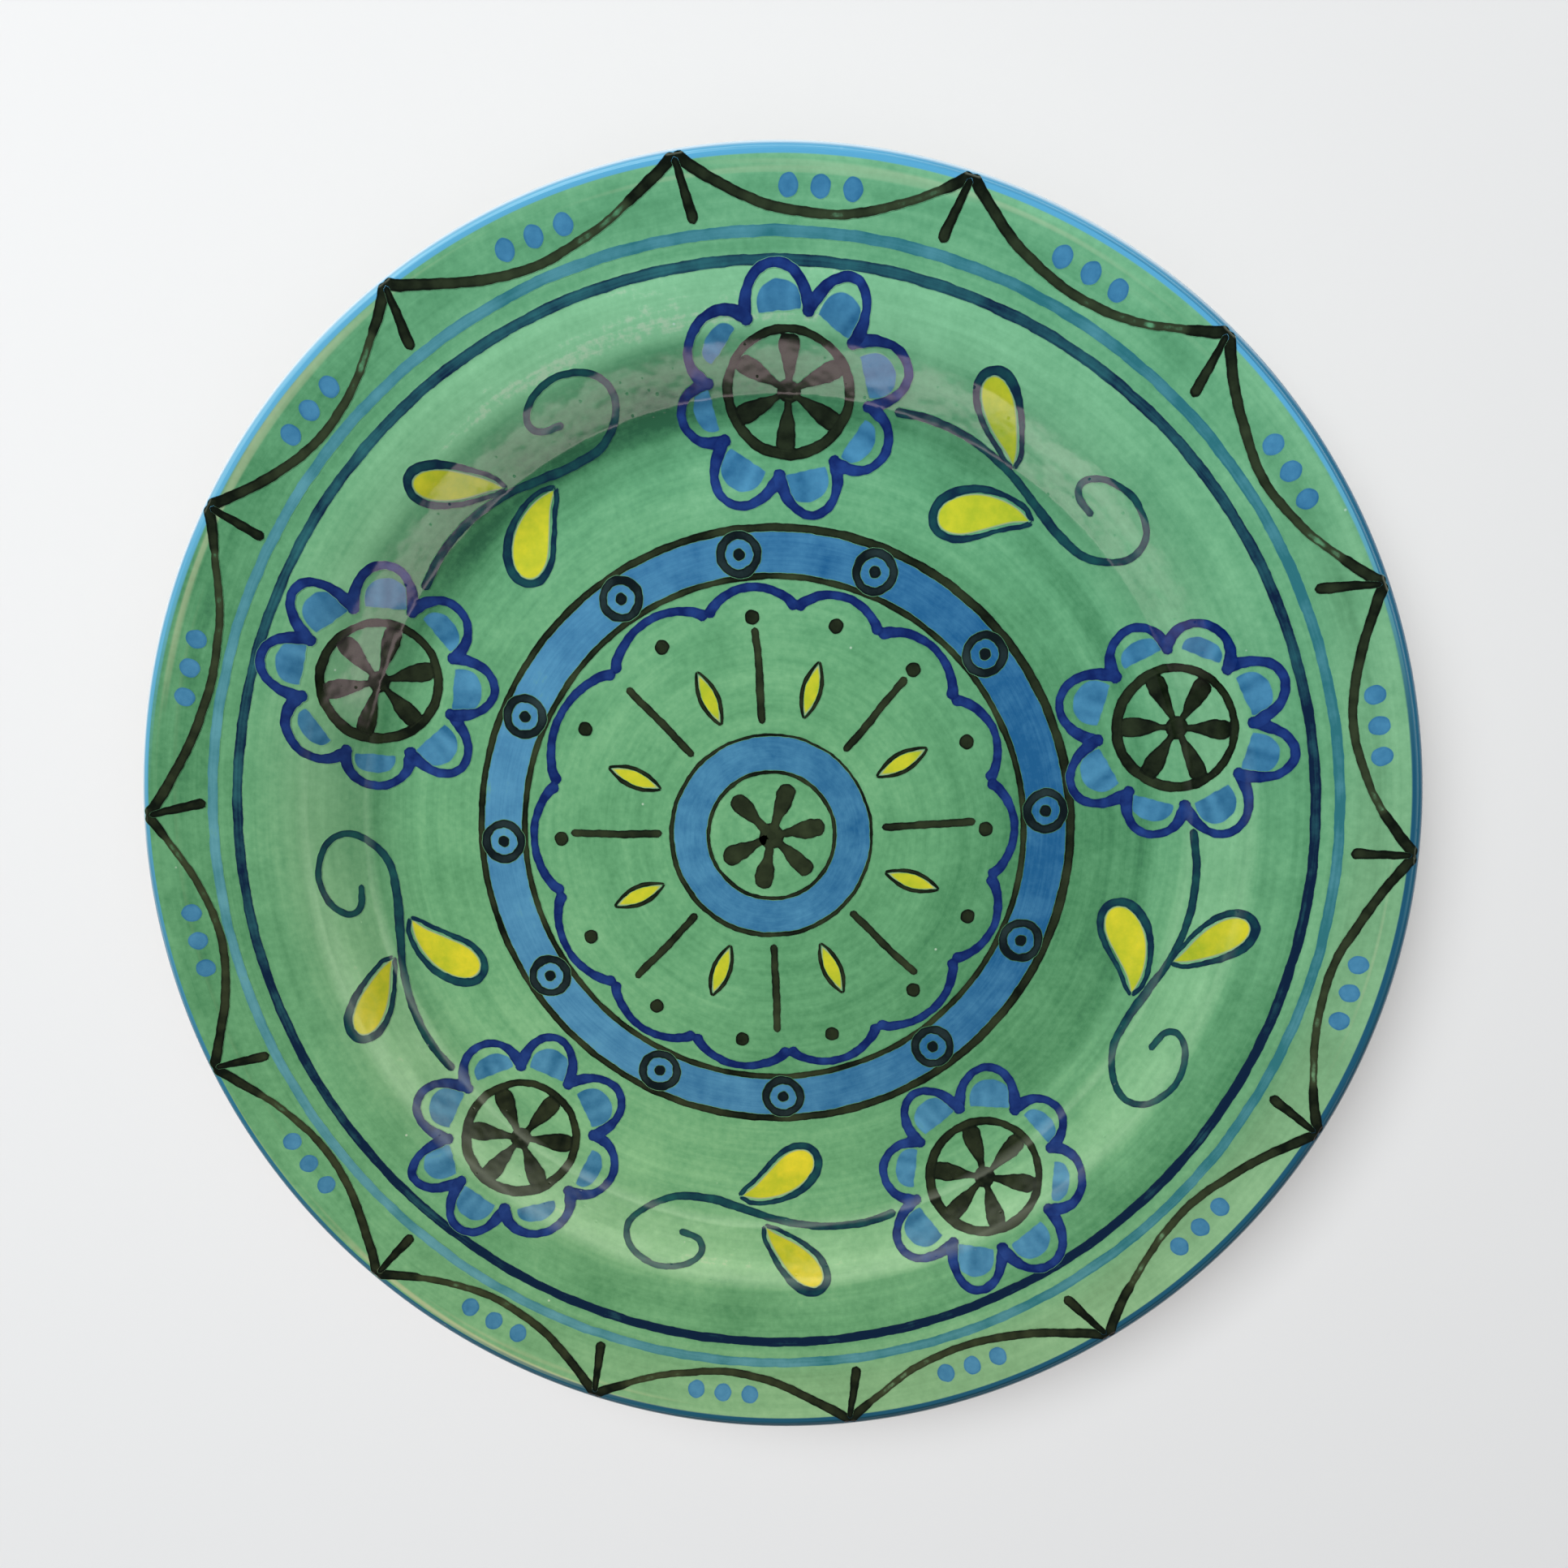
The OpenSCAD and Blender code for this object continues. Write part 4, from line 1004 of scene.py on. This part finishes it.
# %% [markdown]
# ## The sprigs
# From the side of each flower a vine leaves, dips, and curls back on itself, with one leaf above and one
# below. All five follow one drawing, as copies made freehand do, but each curl and each leaf lands a little
# to one side of its place. The drawing is set out in degrees clockwise from the flower and millimetres out
# from its centre, and each sprig has its own small shifts.
# %% Set out the sprigs
stem = [[13.8, 0.6], [19, 1.3], [25, 0.5], [31, -1.6], [36, -3.8], [41, -5.2]]
curl = [[46, -4.6], [49.3, -0.5], [50.7, 5.0], [49.3, 10.3], [45.5, 12.8], [41.8, 11.2], [39.9, 7.5],
        [40.6, 4.2], [43.6, 3.0]]
inner_leaf = [[37.4, -7], [34, -8.8], [30.5, -12], [27.6, -15.6], [25.4, -18.6]]
outer_leaf = [[32.6, -0.8], [31, 2.6], [28.8, 6.4], [26.6, 10.8], [24.8, 14.6]]
curl_shift = [(-1.1, 1.3), (-1.4, 3.1), (0.0, -0.6), (1.9, 1.2), (0.5, 3.7)]
stem_shift = [(-0.4, 1.1), (-0.3, 2.1), (0.0, -0.2), (0.4, 0.0), (0.6, 3.2)]
inner_shift = [(0.0, 1.0), (-0.5, 2.1), (0.0, 0.0), (0.2, 0.2), (1.6, 3.2)]
outer_shift = [(-1.6, 1.3), (-1.2, 2.1), (-0.1, 0.2), (0.8, 0.6), (-0.2, 2.3)]
LEAF_LINE = 1.8
SPRIG_S = 97.9
leaf_swell = [(0, 0.7), (0.15, 0.7), (0.4, 1.1), (0.6, 1.3), (0.85, 0.75), (1, 0.7)]


def beside(i, points, shift):
    """A sprig's points beside flower i, on the flat disc. shift is [degrees, mm], or one pair for each."""
    p = np.array(points, float) + np.array(shift)
    return polar(flower_angle[i] - p[:, 0], SPRIG_S + p[:, 1])


def drop(points, width):
    """The two sides of a leaf along its path: a point at the stalk, widening slowly to a round end."""
    path = smooth(points, 0.1)
    turn = np.linspace(0, pi, 49)
    gone = along(path)
    place = gone[-1] * (1 - np.cos(turn)) / 2
    middle = np.column_stack([np.interp(place, gone, path[:, 0]), np.interp(place, gone, path[:, 1])])
    side = np.column_stack([np.interp(place, gone, normal_of(path)[:, k]) for k in (0, 1)])
    half = width / 2 * np.sin(turn) * np.sin(turn / 2)**1.3 * 1.22
    return middle + side * half[:, None], middle - side * half[:, None]


# %% Paint the sprigs
for i in range(FLOWERS):
    name = "sprig_%d" % (i + 1)
    ease = np.array([0, 0.3, 0.7, 0.95, 1, 1])[:, None] * np.array(stem_shift[i])
    settle = np.linspace(0.35, 1, 3)[:, None] * (np.array(curl_shift[i]) - stem_shift[i]) + stem_shift[i]
    settle = np.concatenate([settle, np.repeat([curl_shift[i]], len(curl) - 3, 0)])
    vine = smooth(np.concatenate([beside(i, stem, ease), beside(i, curl, settle)]))
    lines = [brush(vine, 2.1, 3000 + 20 * i, load=0.65, dry=0.25, ragged=0.035,
                   swell=[(0, 1.1), (0.3, 0.95), (0.4, 1.15), (0.6, 0.9), (0.8, 0.8), (1, 0.9)])]
    fills = []
    for points, shift, width in ((inner_leaf, inner_shift[i], 9.6), (outer_leaf, outer_shift[i], 8.2)):
        left, right = drop(beside(i, points, shift), width)
        fills.append(stroke(left, right, np.linspace(0.3, 0.75, len(left)), cells=10))
        around = np.concatenate([left, right[-2::-1]])
        gone = along(around)
        off = (0.1 + LEAF_LINE / 2) * np.clip(np.minimum(gone, gone[-1] - gone) / 3.0, 0.1, 1)
        out = smooth(around + normal_of(around) * off[:, None])
        lines.append(brush(out, LEAF_LINE, 3100 + 20 * i + len(fills), load=0.75, ragged=0.04,
                           ends=(0.5, 0.5), swell=leaf_swell))
    paint(name + "_vine_painted", lines, LAYER_2, vine_teal, "vine_teal", name + "_vine")
    paint(name + "_leaves_painted", fills, LAYER_1, leaf_yellow, "leaf_yellow", name + "_leaves")

# %% [markdown]
# ## The medallion
# The middle is a blue band between two dark lines with twelve eyes on it, a scalloped cobalt line, and a
# sun of spokes and seeds round a small blue ring. The band and the lines were turned on the wheel and are
# true; all the rest was drawn by hand on top.
# %% Paint the medallion
MEDALLION_R = 71.0
BAND_OUT = MEDALLION_R - 1.6
BAND_IN = BAND_OUT - 9.6
EYES = 12
EYE_S = (BAND_OUT + BAND_IN) / 2
eye_nudge = [0, 5, 3, 1, -3, -1, -4, -3, -1, -3, 2, 2]
medallion_load = 0.50 + 0.36 * np.cos(round_angle - 0.2)
paint("medallion_band_painted",
      [ring(BAND_IN - 0.1, BAND_OUT + 0.1, 21, load=medallion_load, cells=8, ragged=0.015, patchy=0.05)],
      LAYER_1, band_blue, "mid_blue", "medallion_band")
paint("medallion_lines_painted",
      [ring(BAND_OUT - 0.3, MEDALLION_R + 0.1 + 0.3 * np.cos(round_angle), 22, load=0.55, patchy=0.15),
       ring(BAND_IN - 1.2, BAND_IN + 0.4, 23, load=0.45, ragged=0.03, patchy=0.2)],
      LAYER_2, brown_black, "brown_black", "medallion_lines", blended=False)
eyes = []
for i in range(EYES):
    centre = polar(8 + 360 / EYES * i + eye_nudge[i], EYE_S)
    eyes.append(ring(3.15, 5.3, 4000 + i, load=0.75, centre=centre, sides=72, ragged=0.05))
    eyes.append(dab(centre, 2.9, 4100 + i, ragged=0.05))
paint("medallion_eyes_painted", eyes, LAYER_3, eye_black, "eye_black", "medallion_eyes")

# %% [markdown]
# ## The scallops, the spokes and the seeds
# The scallops are arcs that meet in points, so they are painted as fourteen separate pulls of the brush,
# and the paint thickens where two meet. A seed is a yellow lens with a thin dark line along each side.
# %% Paint the scallops
SCALLOPS = 14
SCALLOP_S = BAND_IN - 2.55
SPECK_S = SCALLOP_S - 6.7
scallop_nudge = [1, -2, -3, -7, -10, -8, -1, 2, 4, 4, 4, 3, 4, 2]
cusps = [16 + 360 * i / SCALLOPS + scallop_nudge[i % SCALLOPS] for i in range(SCALLOPS + 1)]
arcs, specks = [], []
for i in range(SCALLOPS):
    t = np.linspace(0, 1, 15)
    arc = polar(cusps[i] + t * (cusps[i + 1] - cusps[i]), SCALLOP_S - 5.0 * (1 - np.sin(pi * t)**0.7))
    arcs.append(brush(smooth(arc), 2.35, 4200 + 10 * i, load=0.8, ragged=0.04,
                      swell=[(0, 1.25), (0.2, 0.95), (0.5, 0.85), (0.8, 1), (1, 1.25)]))
    under = polar((cusps[i] + cusps[i + 1]) / 2, SPECK_S)
    specks.append(dab(under, 3.6, 4400 + i, ragged=0.05, load=0.6))
paint("scalloped_line_painted", arcs, LAYER_2, cobalt, "cobalt", "scalloped_line")
paint("scallop_dots_painted", specks, LAYER_2, brown_black, "brown_black", "scallop_dots")

# %% Paint the spokes and the seeds
SPOKES = 8
spoke_nudge = [0, 0, 0, -5, -5, -3, -3, -3]
seed_nudge = [2, 2, -3, -5, -3, -3, -3, 0]
CENTRE_R = 24.5
SPOKE_OUT = SPECK_S - 2.2
SEED_S = (CENTRE_R + 1.4 + SPOKE_OUT) / 2 - 2
spokes, seeds, husks = [], [], []
for i in range(SPOKES):
    angle = 7 + 360 / SPOKES * i + spoke_nudge[i]
    line = smooth(polar(angle, np.linspace(CENTRE_R + 1.6, SPOKE_OUT, 5)))
    spokes.append(brush(line, 2.0, 4500 + 10 * i, load=0.55, dry=0.3, ragged=0.04, drift=0.1))
    angle = 30 + 360 / SPOKES * i + seed_nudge[i]
    t = np.linspace(-1, 1, 29)
    middle = polar(angle, SEED_S + 6.0 * t)
    side = np.array([-sin(radians(angle)), cos(radians(angle))])
    half = 1.95 * np.clip(1 - np.abs(t)**1.7, 0.02, 1)
    seeds.append(stroke(middle + side * half[:, None], middle - side * half[:, None], 0.5, cells=6))
    t = np.linspace(-1, 1, 15)
    for sign in (1, -1):
        edge = polar(angle, SEED_S + 6.9 * t) + sign * side * (2.1 * (1 - np.abs(t)**1.9))[:, None]
        husks.append(brush(smooth(edge), 1.15, 4600 + 10 * i + sign, load=0.55, ragged=0.03,
                           swell=[(0, 0.6), (0.3, 1), (0.7, 1), (1, 0.6)]))
paint("spokes_painted", spokes, LAYER_2, brown_black, "brown_black", "spokes")
paint("seeds_painted", seeds, LAYER_1, leaf_yellow, "leaf_yellow", "seeds")
paint("seed_outlines_painted", husks, LAYER_2, brown_black, "brown_black", "seed_outlines")

# %% [markdown]
# ## The centre
# A blue ring lies between two dark lines, and in it a loose star of six brush petals. The ring was turned
# on the wheel like the band, so it is made by the same function, and the petals are strokes from a dab in
# the middle, as in the hearts of the flowers.
# %% Paint the centre
CENTRE_IN = CENTRE_R - 10.0
centre_load = 0.50 + 0.12 * np.cos(round_angle)
paint("centre_ring_painted",
      [ring(CENTRE_IN + 0.9, CENTRE_R - 0.9, 31, load=centre_load, cells=6, ragged=0.015, patchy=0.05)],
      LAYER_1, band_blue, "mid_blue", "centre_ring")
paint("centre_lines_painted",
      [ring(CENTRE_R - 1.2, CENTRE_R - 0.1 - 0.35 * np.sin(round_angle + 0.6), 32, load=0.5),
       ring(CENTRE_IN, CENTRE_IN + 1.1, 33, load=0.5)],
      LAYER_2, brown_black, "brown_black", "centre_lines", blended=False)
centre_nudge = [0, 0, 4, 17, 10, 6]
star = [dab((0.0, 0.0), 6.2, 34, load=0.6, ragged=0.1)]
for k in range(HEART_PETALS):
    angle = 13 + 60 * k + centre_nudge[k]
    line = smooth(polar(angle, np.array([1.0, 5.0, 9.0, 13.0])))
    star.append(brush(line, 4.7, 4800 + 10 * k, load=0.45, ragged=0.07, ends=(0, 0.7),
                      swell=[(0, 0.45), (0.3, 0.5), (0.55, 0.9), (0.75, 1.0), (1, 0.8)]))
paint("centre_flower_painted", star, LAYER_2, brown_black, "brown_black", "centre_flower")

# %% [markdown]
# ## Last
# The size of the finished plate is printed, as the size of the imported one is at the start, so that the
# two can be compared.
# %% Print the size
low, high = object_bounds()
print("size, mm:", [round((b - a) * 1000, 2) for a, b in zip(low, high)])
